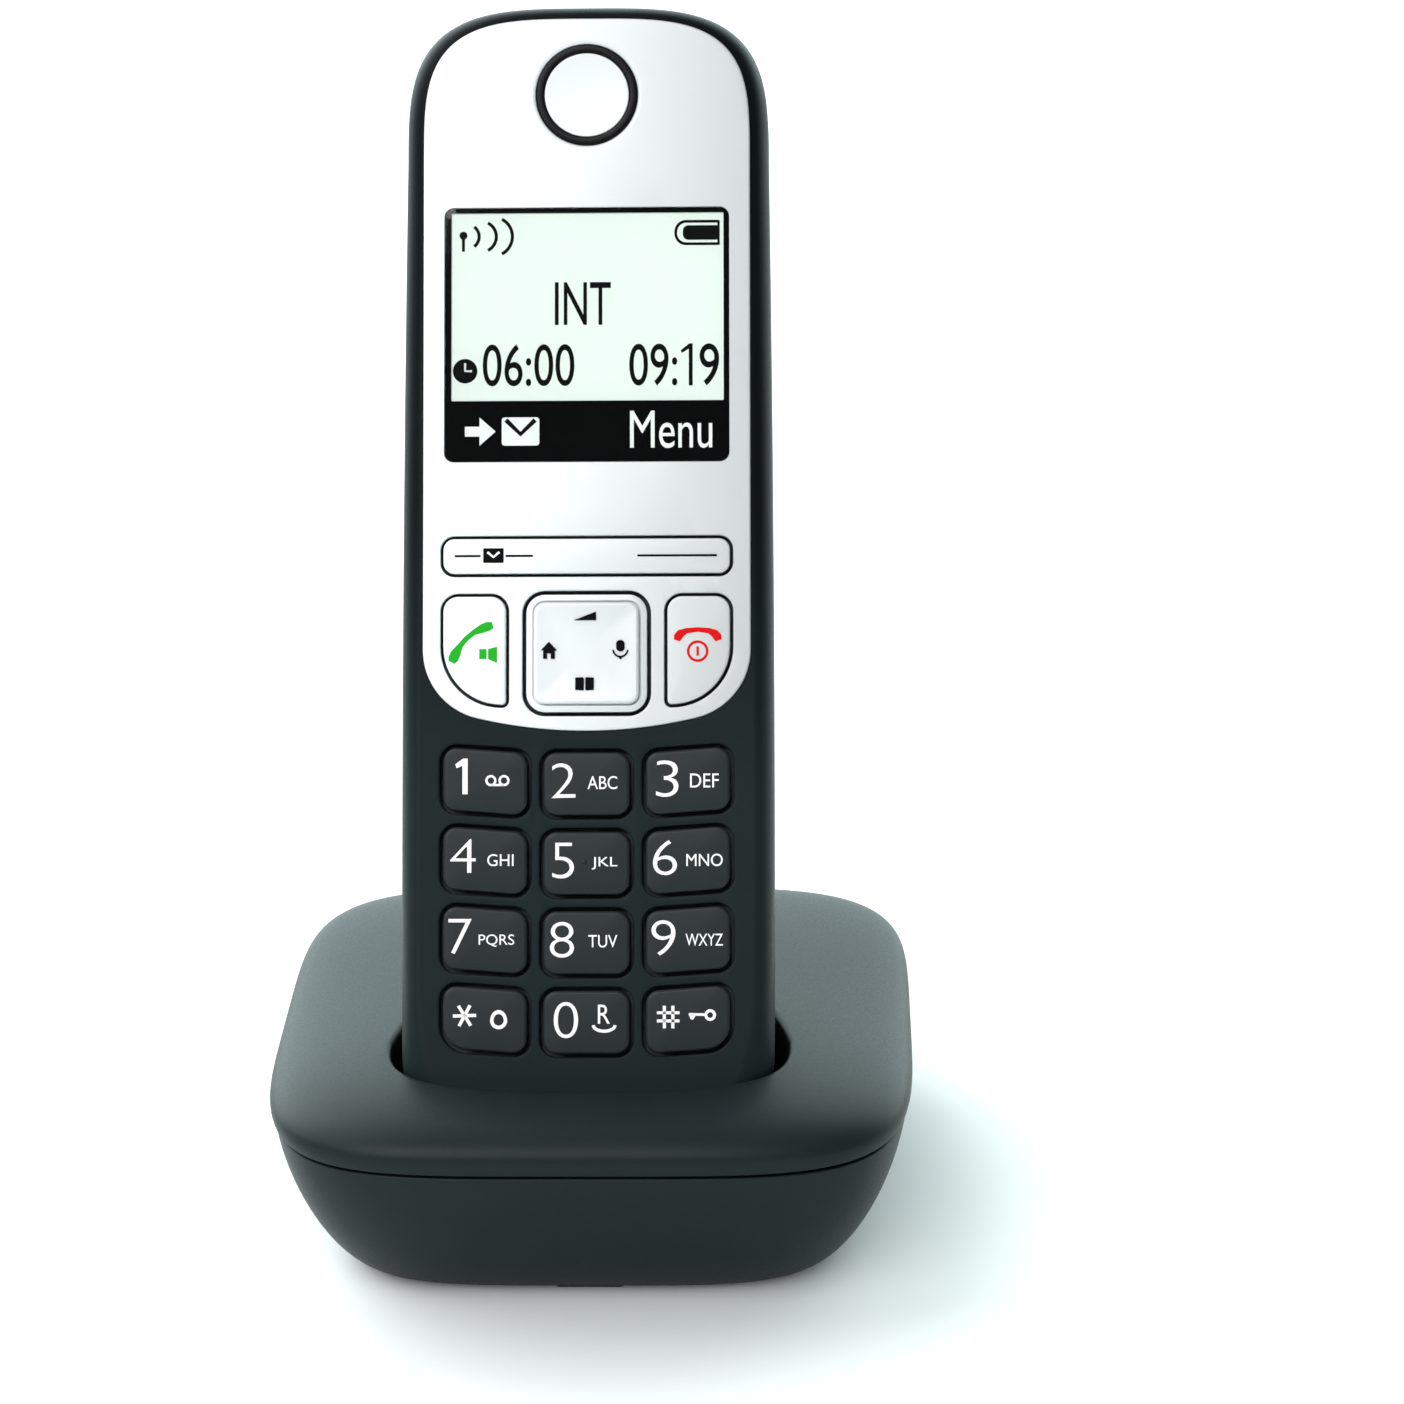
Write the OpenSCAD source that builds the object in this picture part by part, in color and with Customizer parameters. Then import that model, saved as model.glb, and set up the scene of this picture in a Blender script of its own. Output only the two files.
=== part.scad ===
// Cordless telephone: a slim handset standing in a low charging base.
// Millimetres, +Z up, the front faces -Y. The origin is at the middle of the base, on the table.

/* [Base] */
// Half width of the base at its parting line
base_half_w = 42.5; // [41:0.1:45]
// Half depth of the base at its parting line
base_half_d = 44.8; // [43:0.1:48]
// Height of the parting line above the table
parting_z = 21.5; // [20:0.1:24]
// Rise of the top above the parting line, at the front edge
rise_front = 8.5; // [7:0.1:10]
// Rise of the top above the parting line, at the rear edge
rise_rear = 4.2; // [3:0.1:7]
// Width of the base's underside as a share of its full width
underside_share = 0.77; // [0.7:0.01:0.9]
// Height of the rubber feet
foot_h = 0.6; // [0.4:0.1:1.2]
// Wall thickness of the base shells
base_wall = 1.8; // [1.5:0.1:2.2]

/* [Pocket] */
// Lean of the handset from the vertical, in degrees
lean = 24.5; // [20:0.5:28]
// Place of the handset's face where it enters the pocket, in depth
lip_y = -30.4; // [-32:0.1:-29]
// Height of the handset's face where it enters the pocket
lip_z = 26.5; // [26:0.1:28]
// Length of handset hidden in the pocket
sunk = 10; // [8:0.5:11]
// Half width of the pocket at its widest
pocket_half_w = 26; // [25.8:0.05:26.5]

/* [Handset] */
// Length of the handset
handset_l = 152; // [150:0.5:156]
// Half width of the handset at its widest
handset_half_w = 24.25; // [24:0.05:25]
// Thickness of the handset
handset_t = 26; // [25:0.5:27]
// Depth of the seam between the front and rear shells
seam_y = 9; // [8:0.5:10]
// Wall thickness of the handset shells
handset_wall = 1.7; // [1.4:0.1:2]

/* [Face] */
// Half width of the silver faceplate
plate_half_w = 21.3; // [20.5:0.1:21.6]
// Thickness of the faceplate
plate_t = 1; // [0.8:0.1:1.2]
// Half width of the display window
window_half_w = 18.5; // [17:0.1:19]
// Diameter of the earpiece ring
earpiece_d = 13.3; // [12:0.1:14]
// Width of the gap around each key
key_gap = 0.35; // [0.3:0.05:0.5]
// Travel of a pressed key
key_travel = 0.6; // [0.4:0.1:0.7]
// Height that the keys stand above the face
key_proud = 0.5; // [0.3:0.1:0.8]

/* [Hidden] */
plan_y = -2.05;
$fn = 48;
AROUND = 64;
PLATE_COLOR = [0.88, 0.89, 0.9];
SHELL_COLOR = [0.17, 0.2, 0.21];
BLACK = [0.03, 0.03, 0.035];
METAL = [0.78, 0.76, 0.7];
BOARD_COLOR = [0.1, 0.36, 0.2];

// Face layout, in the handset's frame: x across, z up from the bottom end.
plate_bottom = sunk + 46.66;
plate_top = sunk + 139.9;
window_bottom = sunk + 81.7;
window_top = sunk + 114.95;
earpiece_z = sunk + 129.8;
soft_bottom = sunk + 67.05;
soft_top = sunk + 71.7;
call_bottom = sunk + 50.05;
call_top = sunk + 64.2;
nav_bottom = sunk + 48.95;
nav_top = sunk + 64.55;
nav_half_w = 8;
nav_mid = (nav_bottom + nav_top) / 2;
soft_mid = (soft_bottom + soft_top) / 2;
key_row_top = sunk + 43.8;
key_pitch = 10.25;
key_h = 8.35;
key_smile = 178;
key_mid_half = 5.7;
key_inner_x = 7.55;
key_outer_x = 18.65;
flange = 0.6;
face_wall = handset_wall + 0.3;
flange_top = face_wall + 0.15;
flange_t = 0.5;
cap_bottom = flange_top + flange_t;
mat_top = cap_bottom + key_travel + 0.1;
rocker_drop = 0.3;
pivot_y = 3;

// Handset outline.
top_start = handset_l - 21;
bottom_start = 16;
chin = 12;
barrel = 0.000082;
barrel_mid = sunk + 38;
edge_in = 2.7;
edge_d = 4.5;
back_in = 11;
back_d = handset_t - seam_y;

// Battery bay.
cell_r = 5.25;
cell_l = 44.5;
cell_x = 5.6;
cell_y = handset_t - handset_wall - 0.4 - cell_r;
cell_z = 30;
bay_half_w = 12.2;
bay_bottom = 26;
bay_top = 80;
bay_floor = cell_y - cell_r - 0.3;
cover_half_w = 14.5;
cover_bottom = 27;
cover_top = 80.2;
screw_spots = [[-15, 8.5], [15, 8.5], [-13, 130.3], [13, 130.3]];

// Pocket.
pocket_front = -3.1;
pocket_mid = 10.6;
pocket_rear = handset_t + 0.8;
pocket_front_power = 3;
pocket_rear_power = 4;
pocket_taper = 0.12;
pocket_floor = -0.35;
pocket_wall = 1.6;
lip_round = 0.8;
contact_x = 9;
contact_y = 19;

// Base.
shell_step = 0.7;
post_spots = [[-16, -27, 12.2], [16, -27, 12.2], [-26, 8, 26], [26, 8, 26]];
jack_x = 13;
jack_z = 9;
jack_mouth = 39;
page_z = 13;
foot_spots = [[-24, -25.5], [24, -25.5], [-24, 26], [24, 26]];
foot_r = 3.6;

// Where the rings of the curved skins lie.
TOP_SHARES = [0.15, 0.32, 0.5, 0.66, 0.8, 0.9, 0.96, 0.99];
LOWER_SHARES = [0, 0.04, 0.12, 0.25, 0.42, 0.6, 0.8, 1];
FRONT_DEPTHS = [0, 0.06, 0.25, 0.6, 1.2, 2.1, 3.2, edge_d, seam_y];
REAR_DEPTHS = [for (k = [0 : 8]) seam_y + back_d * sin(90 * k / 8)];

// ---- Shared shapes ----

function unit(v) = v / norm(v);

// The arc that rounds corner b of a path a, b, c.
function corner_arc(a, b, c, r, steps) =
    let (
        u = unit(a - b),
        w = unit(c - b),
        half = acos(u * w) / 2,
        mid = b + unit(u + w) * r / sin(half),
        from = b + u * r / tan(half) - mid,
        to = b + w * r / tan(half) - mid,
        start = atan2(from.y, from.x),
        turn = (atan2(to.y, to.x) - start + 540) % 360 - 180
    )
    [for (i = [0 : steps]) mid + r * [cos(start + turn * i / steps), sin(start + turn * i / steps)]];

// A polygon with a radius for each corner.
function rounded(points, radii, steps = 6) =
    let (n = len(points))
    [for (i = [0 : n - 1])
        each corner_arc(points[(i + n - 1) % n], points[i], points[(i + 1) % n], radii[i], steps)];

function box_points(x0, z0, x1, z1) = [[x0, z0], [x1, z0], [x1, z1], [x0, z1]];

function rounded_box(x0, z0, x1, z1, r) = rounded(box_points(x0, z0, x1, z1), [r, r, r, r]);

// A flat piece in the handset's face, from depth y0 to depth y1.
module slab(y0, y1) {
    translate([0, y1, 0])
        rotate([90, 0, 0])
            linear_extrude(y1 - y0)
                children();
}

// A round bar along the handset's depth.
module bar(x, z, y0, y1, r) {
    translate([x, y1, z])
        rotate([90, 0, 0])
            cylinder(h = y1 - y0, r = r);
}

module block(x0, y0, z0, x1, y1, z1) {
    translate([x0, y0, z0])
        cube([x1 - x0, y1 - y0, z1 - z0]);
}

function reversed(list) = [for (k = [len(list) - 1 : -1 : 0]) list[k]];

// A closed skin over a stack of rings, with a fan to a centre point at each end.
// The rings run anticlockwise seen from the last one.
module skin(rings, first_point, last_point) {
    n = len(rings[0]);
    count = len(rings);
    sides = [for (k = [0 : count - 2], j = [0 : n - 1])
        each [
            [k * n + j, (k + 1) * n + j, (k + 1) * n + (j + 1) % n],
            [k * n + j, (k + 1) * n + (j + 1) % n, k * n + (j + 1) % n]
        ]];
    low = [for (j = [0 : n - 1]) [count * n, j, (j + 1) % n]];
    high = [for (j = [0 : n - 1]) [count * n + 1, (count - 1) * n + (j + 1) % n, (count - 1) * n + j]];
    polyhedron(
        points = concat([for (ring = rings) each ring], [first_point, last_point]),
        faces = concat(sides, low, high)
    );
}

// The handset's frame: x across, y inward from the face, z up from the bottom end.
function placed(p) = [
    p.x,
    lip_y + p.y * cos(lean) + (p.z - sunk) * sin(lean),
    lip_z - p.y * sin(lean) + (p.z - sunk) * cos(lean)
];

module in_handset() {
    translate(placed([0, 0, 0]))
        rotate([-lean, 0, 0])
            children();
}

// Brings the middle of the whole object's plan, docked, to the origin.
module in_row() {
    translate([0, plan_y, 0])
        children();
}

// ---- Base surfaces ----

// Radius of a superellipse of half sizes a and b in direction t.
function lobe(a, b, p, t) =
    1 / pow(pow(abs(cos(t)) / a, p) + pow(abs(sin(t)) / b, p), 1 / p);

function plan_power(rho) = 3.5 + 1.1 * pow(min(rho, 1), 3);

function rho_at(x, y, inset, p, passes) =
    let (
        sum = pow(abs(x) / (base_half_w - inset), p) + pow(abs(y) / (base_half_d - inset), p),
        rho = pow(sum, 1 / p)
    )
    passes == 0 ? rho : rho_at(x, y, inset, plan_power(rho), passes - 1);

// Height of the domed top over a point of the plan.
function dome(x, y, inset = 0) =
    let (
        rho = min(rho_at(x, y, inset, 4, 4), 1),
        rise = (rise_front + rise_rear) / 2 + (rise_rear - rise_front) / 2 * y / base_half_d - inset
    )
    parting_z + rise * pow(1 - pow(rho, 3.05), 1 / 3.05);

function edge_ring(inset) = [for (j = [0 : AROUND - 1])
    let (t = 360 * j / AROUND, r = lobe(base_half_w - inset, base_half_d - inset, 4.6, t))
    [r * cos(t), r * sin(t), parting_z]];

// The pocket's cross-section, grown by g: x across, y in depth. It narrows towards its rear.
function pocket_point(j, g) =
    let (
        t = 360 * j / AROUND,
        front = sin(t) < 0,
        half_d = front ? pocket_mid - pocket_front : pocket_rear - pocket_mid,
        power = front ? pocket_front_power : pocket_rear_power,
        r = lobe(pocket_half_w + g, half_d + g, power, t),
        back = max(0, r * sin(t) / half_d)
    )
    [r * cos(t) * (1 - pocket_taper * back), pocket_mid + r * sin(t)];

// How far up its wall a point of the pocket meets the top, or the top's inner skin.
function meet(q, inset, z = 0, passes = 5) =
    let (
        y = lip_y + q.y * cos(lean) + (z - sunk) * sin(lean),
        up = (dome(q.x, y, inset) - lip_z + q.y * sin(lean)) / cos(lean) + sunk
    )
    passes == 0 ? up : meet(q, inset, up, passes - 1);

function wall_ring(g, z) = [for (j = [0 : AROUND - 1])
    let (q = pocket_point(j, g))
    placed([q.x, q.y, z])];

function rim_ring(g, drop, inset = 0) = [for (j = [0 : AROUND - 1])
    let (q = pocket_point(j, g))
    placed([q.x, q.y, meet(q, inset) - drop])];

// A ring between the pocket's rim and the base's edge.
function top_ring(g, share, inset) =
    let (rim = rim_ring(g, 0, inset), edge = edge_ring(inset))
    [for (j = [0 : AROUND - 1])
        let (
            x = rim[j].x + (edge[j].x - rim[j].x) * share,
            y = rim[j].y + (edge[j].y - rim[j].y) * share
        )
        [x, y, dome(x, y, inset)]];

// A ring of the lower shell at a share of its height.
function lower_ring(share, inset) =
    let (
        k = 1 - pow(1 - pow(1 - share, 1.47), 1 / 1.47),
        size = 1 - (1 - underside_share) * k,
        a = (base_half_w - shell_step) * size - inset,
        b = (base_half_d - shell_step) * size - inset,
        floor_z = foot_h + inset
    )
    [for (j = [0 : AROUND - 1])
        let (t = 360 * j / AROUND, r = lobe(a, b, 4.6, t))
        [r * cos(t), r * sin(t), floor_z + (parting_z - floor_z) * share]];

// ---- Base pieces ----

module base_top_shell() {
    outer = [for (share = TOP_SHARES) top_ring(lip_round, share, 0)];
    inner = [for (k = [len(TOP_SHARES) - 1 : -2 : 0]) top_ring(pocket_wall, TOP_SHARES[k], base_wall)];
    rings = concat(
        [
            wall_ring(-0.8, pocket_floor),
            wall_ring(-0.2, pocket_floor + 0.2),
            wall_ring(0, pocket_floor + 0.8)
        ],
        [rim_ring(0, lip_round), rim_ring(0.25, 0.25), rim_ring(lip_round, 0)],
        outer,
        [edge_ring(0), edge_ring(base_wall)],
        inner,
        [rim_ring(pocket_wall, 0, base_wall), wall_ring(pocket_wall, pocket_floor - pocket_wall)]
    );
    color(SHELL_COLOR) in_row()
        difference() {
            union() {
                skin(
                    reversed(rings),
                    placed([0, pocket_mid, pocket_floor - pocket_wall]),
                    placed([0, pocket_mid, pocket_floor])
                );
                for (p = post_spots)
                    translate([p.x, p.y, foot_h + base_wall + 0.1])
                        cylinder(h = p.z - foot_h - base_wall - 0.1, r = 2.6);
            }
            for (p = post_spots)
                translate([p.x, p.y, 0])
                    cylinder(h = 11, r = 1);
            in_handset()
                for (side = [-1, 1])
                    block(
                        side * contact_x - 1.8, contact_y - 2.6, pocket_floor - 3,
                        side * contact_x + 1.8, contact_y + 2.6, pocket_floor + 1
                    );
        }
}

module base_bottom_shell() {
    rings = concat(
        [for (share = LOWER_SHARES) lower_ring(share, 0)],
        [for (k = [len(LOWER_SHARES) - 1 : -1 : 0]) lower_ring(LOWER_SHARES[k], base_wall)]
    );
    color(SHELL_COLOR) in_row()
        difference() {
            skin(rings, [0, 0, foot_h], [0, 0, foot_h + base_wall]);
            for (p = post_spots)
                translate([p.x, p.y, 0]) {
                    cylinder(h = 1.5, r = 2.5);
                    cylinder(h = 4, r = 1.3);
                }
            for (side = [-1, 1])
                block(side * jack_x - 5, jack_mouth - 6, jack_z - 4.4, side * jack_x + 5, 46, jack_z + 4.4);
            translate([0, 46, page_z])
                rotate([90, 0, 0])
                    cylinder(h = 10, r = 3.6);
            for (p = foot_spots)
                translate([p.x, p.y, 0])
                    cylinder(h = foot_h + 0.3, r = foot_r + 0.1);
            block(-5.1, -33.7, 0, 5.1, -30.4, foot_h + 0.3);
            for (k = [-2 : 2])
                block(-12, k * 4 - 0.6, 0, 12, k * 4 + 0.6, 5);
        }
}

module base_board() {
    color(BOARD_COLOR) in_row()
        difference() {
            block(-28, 4, 3.4, 28, 28.5, 4.6);
            for (p = post_spots)
                translate([p.x, p.y, 0])
                    cylinder(h = 10, r = 3.3);
        }
}

module base_board_chips() {
    color(BLACK) in_row() {
        block(-9, 8, 4.6, 1, 17, 6);
        block(7, 9, 4.6, 13, 15, 5.8);
        block(-22, 14, 4.6, -14, 20, 6.6);
        translate([19, 10, 4.6])
            cylinder(h = 7, r = 2.6);
        translate([-19, 8, 4.6])
            cylinder(h = 6, r = 2);
    }
}

module base_antenna() {
    color(METAL) in_row() {
        block(20, 17.5, 4.6, 20.6, 22, 10);
        block(8, 17.5, 10, 20.6, 18.1, 11);
    }
}

module jack(x) {
    difference() {
        block(x - 6, jack_mouth - 13, 4.7, x + 6, jack_mouth - 6.1, jack_z + 5);
        block(x - 4.8, jack_mouth - 11.8, jack_z - 3.3, x + 4.8, jack_mouth, jack_z + 3.3);
    }
}

module power_jack() {
    color(BLACK) in_row()
        jack(-jack_x);
}

module line_jack() {
    color(BLACK) in_row()
        jack(jack_x);
}

module contact_block() {
    low = pocket_floor - pocket_wall;
    color(BLACK) in_row()
        in_handset()
            difference() {
                block(-12.5, contact_y - 5, low - 2.8, 12.5, contact_y + 5, low - 0.1);
                for (side = [-1, 1])
                    block(
                        side * contact_x - 1.6, contact_y - 2.4, low - 4,
                        side * contact_x + 1.6, contact_y + 2.4, low
                    );
            }
}

module base_contact(side) {
    color(METAL) in_row()
        in_handset()
            translate([side * contact_x, contact_y, 0]) {
                block(-1.3, -1.2, pocket_floor - 4.6, 1.3, 1.2, 0.1);
                translate([-1.3, 0, 0.1])
                    rotate([0, 90, 0])
                        cylinder(h = 2.6, r = 1.2);
            }
}

module base_contact_left() {
    base_contact(-1);
}

module base_contact_right() {
    base_contact(1);
}

module base_feet() {
    color(BLACK) in_row()
        for (p = foot_spots)
            translate([p.x, p.y, 0])
                cylinder(h = foot_h + 0.3, r = foot_r);
}

module front_foot() {
    color(BLACK) in_row()
        block(-5, -33.6, 0, 5, -30.5, foot_h + 0.3);
}

module base_screws() {
    color(METAL) in_row()
        for (p = post_spots)
            translate([p.x, p.y, 0.7]) {
                difference() {
                    cylinder(h = 0.8, r = 2.2);
                    block(-1.2, -0.25, -0.1, 1.2, 0.25, 0.4);
                    block(-0.25, -1.2, -0.1, 0.25, 1.2, 0.4);
                }
                translate([0, 0, 0.7])
                    cylinder(h = 7, r = 0.95);
            }
}

module page_key() {
    color(SHELL_COLOR) in_row()
        translate([0, 42.4, page_z])
            rotate([90, 0, 0]) {
                cylinder(h = 5.6, r = 3.3);
                translate([0, 0, 4.6])
                    cylinder(h = 1, r = 4.4);
            }
}

// ---- Handset surfaces ----

// Share of an ellipse's inset left at a depth measured from its rounded end.
function ease(share) = 1 - sqrt(max(0, 1 - share * share));

function edge_inset(y) =
    y < edge_d ? edge_in * ease((edge_d - y) / edge_d)
    : y > seam_y ? back_in * ease((y - seam_y) / back_d)
    : 0;

// The outline of the handset at depth y, drawn in by a wall thickness.
function handset_ring(y, depth, wall) =
    let (
        inset = edge_inset(depth) + wall,
        top_in = edge_inset(depth) * 0.8 + wall,
        low_in = edge_inset(depth) * 0.4 + wall,
        low_start = bottom_start + (depth < edge_d ? chin * edge_inset(depth) / edge_in : 0),
        top_half = handset_half_w - barrel * pow(top_start - barrel_mid, 2) - inset,
        low_half = handset_half_w - barrel * pow(low_start - barrel_mid, 2) - inset,
        top = [for (k = [0 : 18])
            let (t = 180 * k / 18)
            [
                top_half * sign(cos(t)) * pow(abs(cos(t)), 2 / 3.5),
                y,
                top_start + (handset_l - top_start - top_in) * pow(sin(t), 2 / 3.5)
            ]],
        low = [for (k = [0 : 14])
            let (t = 180 + 180 * k / 14)
            [
                low_half * sign(cos(t)) * pow(abs(cos(t)), 2 / 2.6),
                y,
                low_start - (low_start - low_in) * pow(abs(sin(t)), 2 / 2.6)
            ]],
        side = [for (k = [1 : 5])
            let (z = low_start + (top_start - low_start) * k / 6)
            [handset_half_w - barrel * pow(z - barrel_mid, 2) - inset, y, z]]
    )
    concat(
        top,
        [for (k = [4 : -1 : 0]) [-side[k].x, y, side[k].z]],
        low,
        side
    );

// A skin through the handset's depth, from the front ring to the rear one.
module across(rings) {
    mid = (bottom_start + top_start) / 2;
    skin(reversed(rings), [0, rings[len(rings) - 1][0].y, mid], [0, rings[0][0].y, mid]);
}

// The front half as a solid, or its hollow when wall is set.
module front_half(wall) {
    rings = [for (d = FRONT_DEPTHS) handset_ring(max(d, wall), d, wall)];
    kept = [for (k = [0 : len(rings) - 1]) if (k == 0 || rings[k][0].y > wall) rings[k]];
    last = [for (p = rings[len(rings) - 1]) [p.x, seam_y + 1, p.z]];
    across(wall > 0 ? concat(kept, [last]) : kept);
}

// The rear half as a solid, or its hollow when wall is set.
module rear_half(wall) {
    reach = (back_d - wall) / back_d;
    rings = [for (d = REAR_DEPTHS) handset_ring(seam_y + (d - seam_y) * reach, d, wall)];
    first = [for (p = rings[0]) [p.x, seam_y - 1, p.z]];
    across(wall > 0 ? concat([first], rings) : rings);
}

// ---- Face outlines, grown by g ----

function plate_outline(g) =
    let (
        r = 9.2 + g,
        big = 62 + g,
        big_mid = plate_bottom + 62,
        low_x = plate_half_w - 9.2,
        low_z = big_mid - sqrt(pow(big - r, 2) - low_x * low_x),
        meet_angle = atan(low_x / (big_mid - low_z)),
        top_from = sunk + 121
    )
    concat(
        [for (k = [-6 : 6])
            let (t = meet_angle * k / 6)
            [big * sin(t), big_mid - big * cos(t)]],
        [for (k = [1 : 8])
            let (t = meet_angle + (90 - meet_angle) * k / 8)
            [low_x + r * sin(t), low_z - r * cos(t)]],
        [for (k = [0 : 20])
            let (t = 180 * k / 20)
            [
                (plate_half_w + g) * sign(cos(t)) * pow(abs(cos(t)), 2 / 3.6),
                top_from + (plate_top + g - top_from) * pow(sin(t), 2 / 3.6)
            ]],
        [for (k = [8 : -1 : 1])
            let (t = meet_angle + (90 - meet_angle) * k / 8)
            [-low_x - r * sin(t), low_z - r * cos(t)]]
    );

function window_outline(g) =
    rounded_box(-window_half_w - g, window_bottom - g, window_half_w + g, window_top + g, 1.2 + g);

function soft_outline(g) =
    rounded_box(-key_outer_x - g, soft_bottom - g, key_outer_x + g, soft_top + g, 1.5 + g);

// The call keys: side 1 is the right one. The outer bottom corner follows the faceplate.
function call_outline(side, g) =
    let (
        x0 = 10.4 - g,
        x1 = key_outer_x + g,
        points = [[x0, call_top + g], [x0, call_bottom - g], [x1, call_bottom - g], [x1, call_top + g]],
        loop = rounded(points, [2 + g, 0.6 + g, 7.6 + g, 2 + g], 8)
    )
    [for (p = loop) [side * p.x, p.y]];

function nav_outline(g) =
    rounded_box(-nav_half_w - g, nav_bottom - g, nav_half_w + g, nav_top + g, 2.6 + g);

// A number key: column -1, 0 or 1, row 0 to 3. Its edges follow a smile across the columns.
function key_corners(column, row, g) =
    let (
        x0 = column == 0 ? -key_mid_half : key_inner_x,
        x1 = column == 0 ? key_mid_half : key_outer_x,
        lift0 = column == 0 ? 0.2 : x0 * x0 / (2 * key_smile),
        lift1 = column == 0 ? 0.2 : x1 * x1 / (2 * key_smile),
        top = key_row_top - row * key_pitch,
        low = top - key_h
    )
    [
        [x0 - g, low - g + lift0],
        [x1 + g, low - g + lift1],
        [x1 + g, top + g + lift1],
        [x0 - g, top + g + lift0]
    ];

function key_outline(column, row, g) =
    let (
        outer_r = row == 3 && column != 0 ? 3.4 : 1.9,
        loop = rounded(key_corners(column, row, g), [1.9 + g, outer_r + g, 1.9 + g, 1.9 + g]),
        side = column < 0 ? -1 : 1
    )
    [for (p = loop) [side * p.x, p.y]];

// ---- Handset pieces ----

module face_holes(g) {
    for (row = [0 : 3], column = [-1 : 1])
        slab(-1, 6)
            polygon(key_outline(column, row, g));
    for (side = [-1, 1])
        slab(-1, 6)
            polygon(call_outline(side, g));
    slab(-1, 6)
        polygon(soft_outline(g));
    slab(-1, 6)
        polygon(nav_outline(g));
}

module handset_front_shell() {
    lens_x = 17.8;
    color(SHELL_COLOR) in_row()
        in_handset()
            difference() {
                union() {
                    difference() {
                        front_half(0);
                        front_half(face_wall);
                    }
                    for (p = screw_spots)
                        bar(p.x, p.y, handset_wall, 11.5, 2.3);
                }
                slab(-1, plate_t + 0.05)
                    polygon(plate_outline(0.08));
                face_holes(key_gap);
                block(-lens_x, -1, window_bottom + 2, lens_x, 6, window_top - 1);
                bar(0, earpiece_z, -1, 6, 5);
                bar(0, 5.5, -1, 6, 0.6);
                for (p = screw_spots)
                    bar(p.x, p.y, 4, 12, 0.85);
            }
}

module cover_prism(g) {
    translate([0, 40, 0])
        rotate([90, 0, 0])
            linear_extrude(40 - bay_floor)
                polygon(rounded_box(
                    -cover_half_w - g, cover_bottom - g,
                    cover_half_w + g, cover_top + g, 3
                ));
}

module handset_rear_shell() {
    color(SHELL_COLOR) in_row()
        in_handset()
            difference() {
                union() {
                    difference() {
                        rear_half(0);
                        rear_half(handset_wall);
                        cover_prism(0.2);
                    }
                    intersection() {
                        rear_half(0.4);
                        union() {
                            difference() {
                                block(
                                    -bay_half_w - 1.2, bay_floor - 1.2, bay_bottom - 1.2,
                                    bay_half_w + 1.2, handset_t, bay_top + 1.2
                                );
                                block(
                                    -bay_half_w, bay_floor, bay_bottom,
                                    bay_half_w, handset_t + 1, bay_top
                                );
                            }
                            for (p = screw_spots)
                                bar(p.x, p.y, 11.6, handset_t, 3.1);
                        }
                    }
                }
                slab(handset_t - handset_wall - 0.5, handset_t + 2)
                    polygon(rounded_box(
                        -cover_half_w - 0.2, cover_bottom - 0.2, cover_half_w + 0.2, cover_top + 0.2, 3
                    ));
                for (p = screw_spots) {
                    bar(p.x, p.y, 13.2, handset_t + 1, 2.2);
                    bar(p.x, p.y, 11, 14, 1.1);
                }
                for (k = [-3 : 3])
                    block(-7, 20, 106 + k * 2.4 - 0.6, 7, handset_t + 1, 106 + k * 2.4 + 0.6);
                for (side = [-1, 1])
                    block(
                        side * contact_x - 1.75, contact_y - 2.1, 0,
                        side * contact_x + 1.75, contact_y + 2.1, 4
                    );
            }
}

module faceplate() {
    color(PLATE_COLOR) in_row()
        in_handset()
            difference() {
                slab(0, plate_t)
                    polygon(plate_outline(0));
                slab(-1, 3)
                    polygon(window_outline(0.05));
                slab(-1, 3)
                    polygon(soft_outline(key_gap));
                slab(-1, 3)
                    polygon(nav_outline(key_gap));
                for (side = [-1, 1])
                    slab(-1, 3)
                        polygon(call_outline(side, key_gap));
                bar(0, earpiece_z, -1, 3, earpiece_d / 2 + 0.05);
            }
}

module earpiece_ring() {
    color(BLACK) in_row()
        in_handset()
            difference() {
                bar(0, earpiece_z, 0, plate_t, earpiece_d / 2);
                bar(0, earpiece_z, -1, 3, earpiece_d / 2 - 1.1);
            }
}

module earpiece_disc() {
    color(PLATE_COLOR) in_row()
        in_handset()
            bar(0, earpiece_z, 0.15, plate_t, earpiece_d / 2 - 1.2);
}

module display_window() {
    color([0.04, 0.05, 0.05, 0.6]) in_row()
        in_handset()
            slab(0.02, plate_t)
                polygon(window_outline(0));
}

module lcd_panel() {
    color([0.86, 0.93, 0.88]) in_row()
        in_handset()
            block(-18, 2.2, window_bottom + 1, 18, 3.8, window_top);
}

module lcd_holder() {
    color(BLACK) in_row()
        in_handset()
            difference() {
                block(-20, 2.1, window_bottom - 1.5, 20, 5.4, window_top + 1.5);
                block(-18.1, 2, window_bottom + 0.9, 18.1, 4, window_top + 0.1);
            }
}

module keymat() {
    color([0.35, 0.37, 0.38]) in_row()
        in_handset()
            difference() {
                slab(mat_top, mat_top + 1)
                    polygon(rounded_box(-19.6, 14, 19.6, soft_top + 1, 2));
                bar(0, nav_mid, 0, 6, 1.2);
                bar(0, soft_mid, 0, 6, 0.9);
            }
}

module main_board() {
    color(BOARD_COLOR) in_row()
        in_handset()
            slab(5.6, 6.6)
                polygon(rounded_box(-19.5, 14, 19.5, 127, 2));
}

module board_shield() {
    color(METAL) in_row()
        in_handset()
            block(-10, 6.6, 92, 12, 9.2, 118);
}

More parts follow.
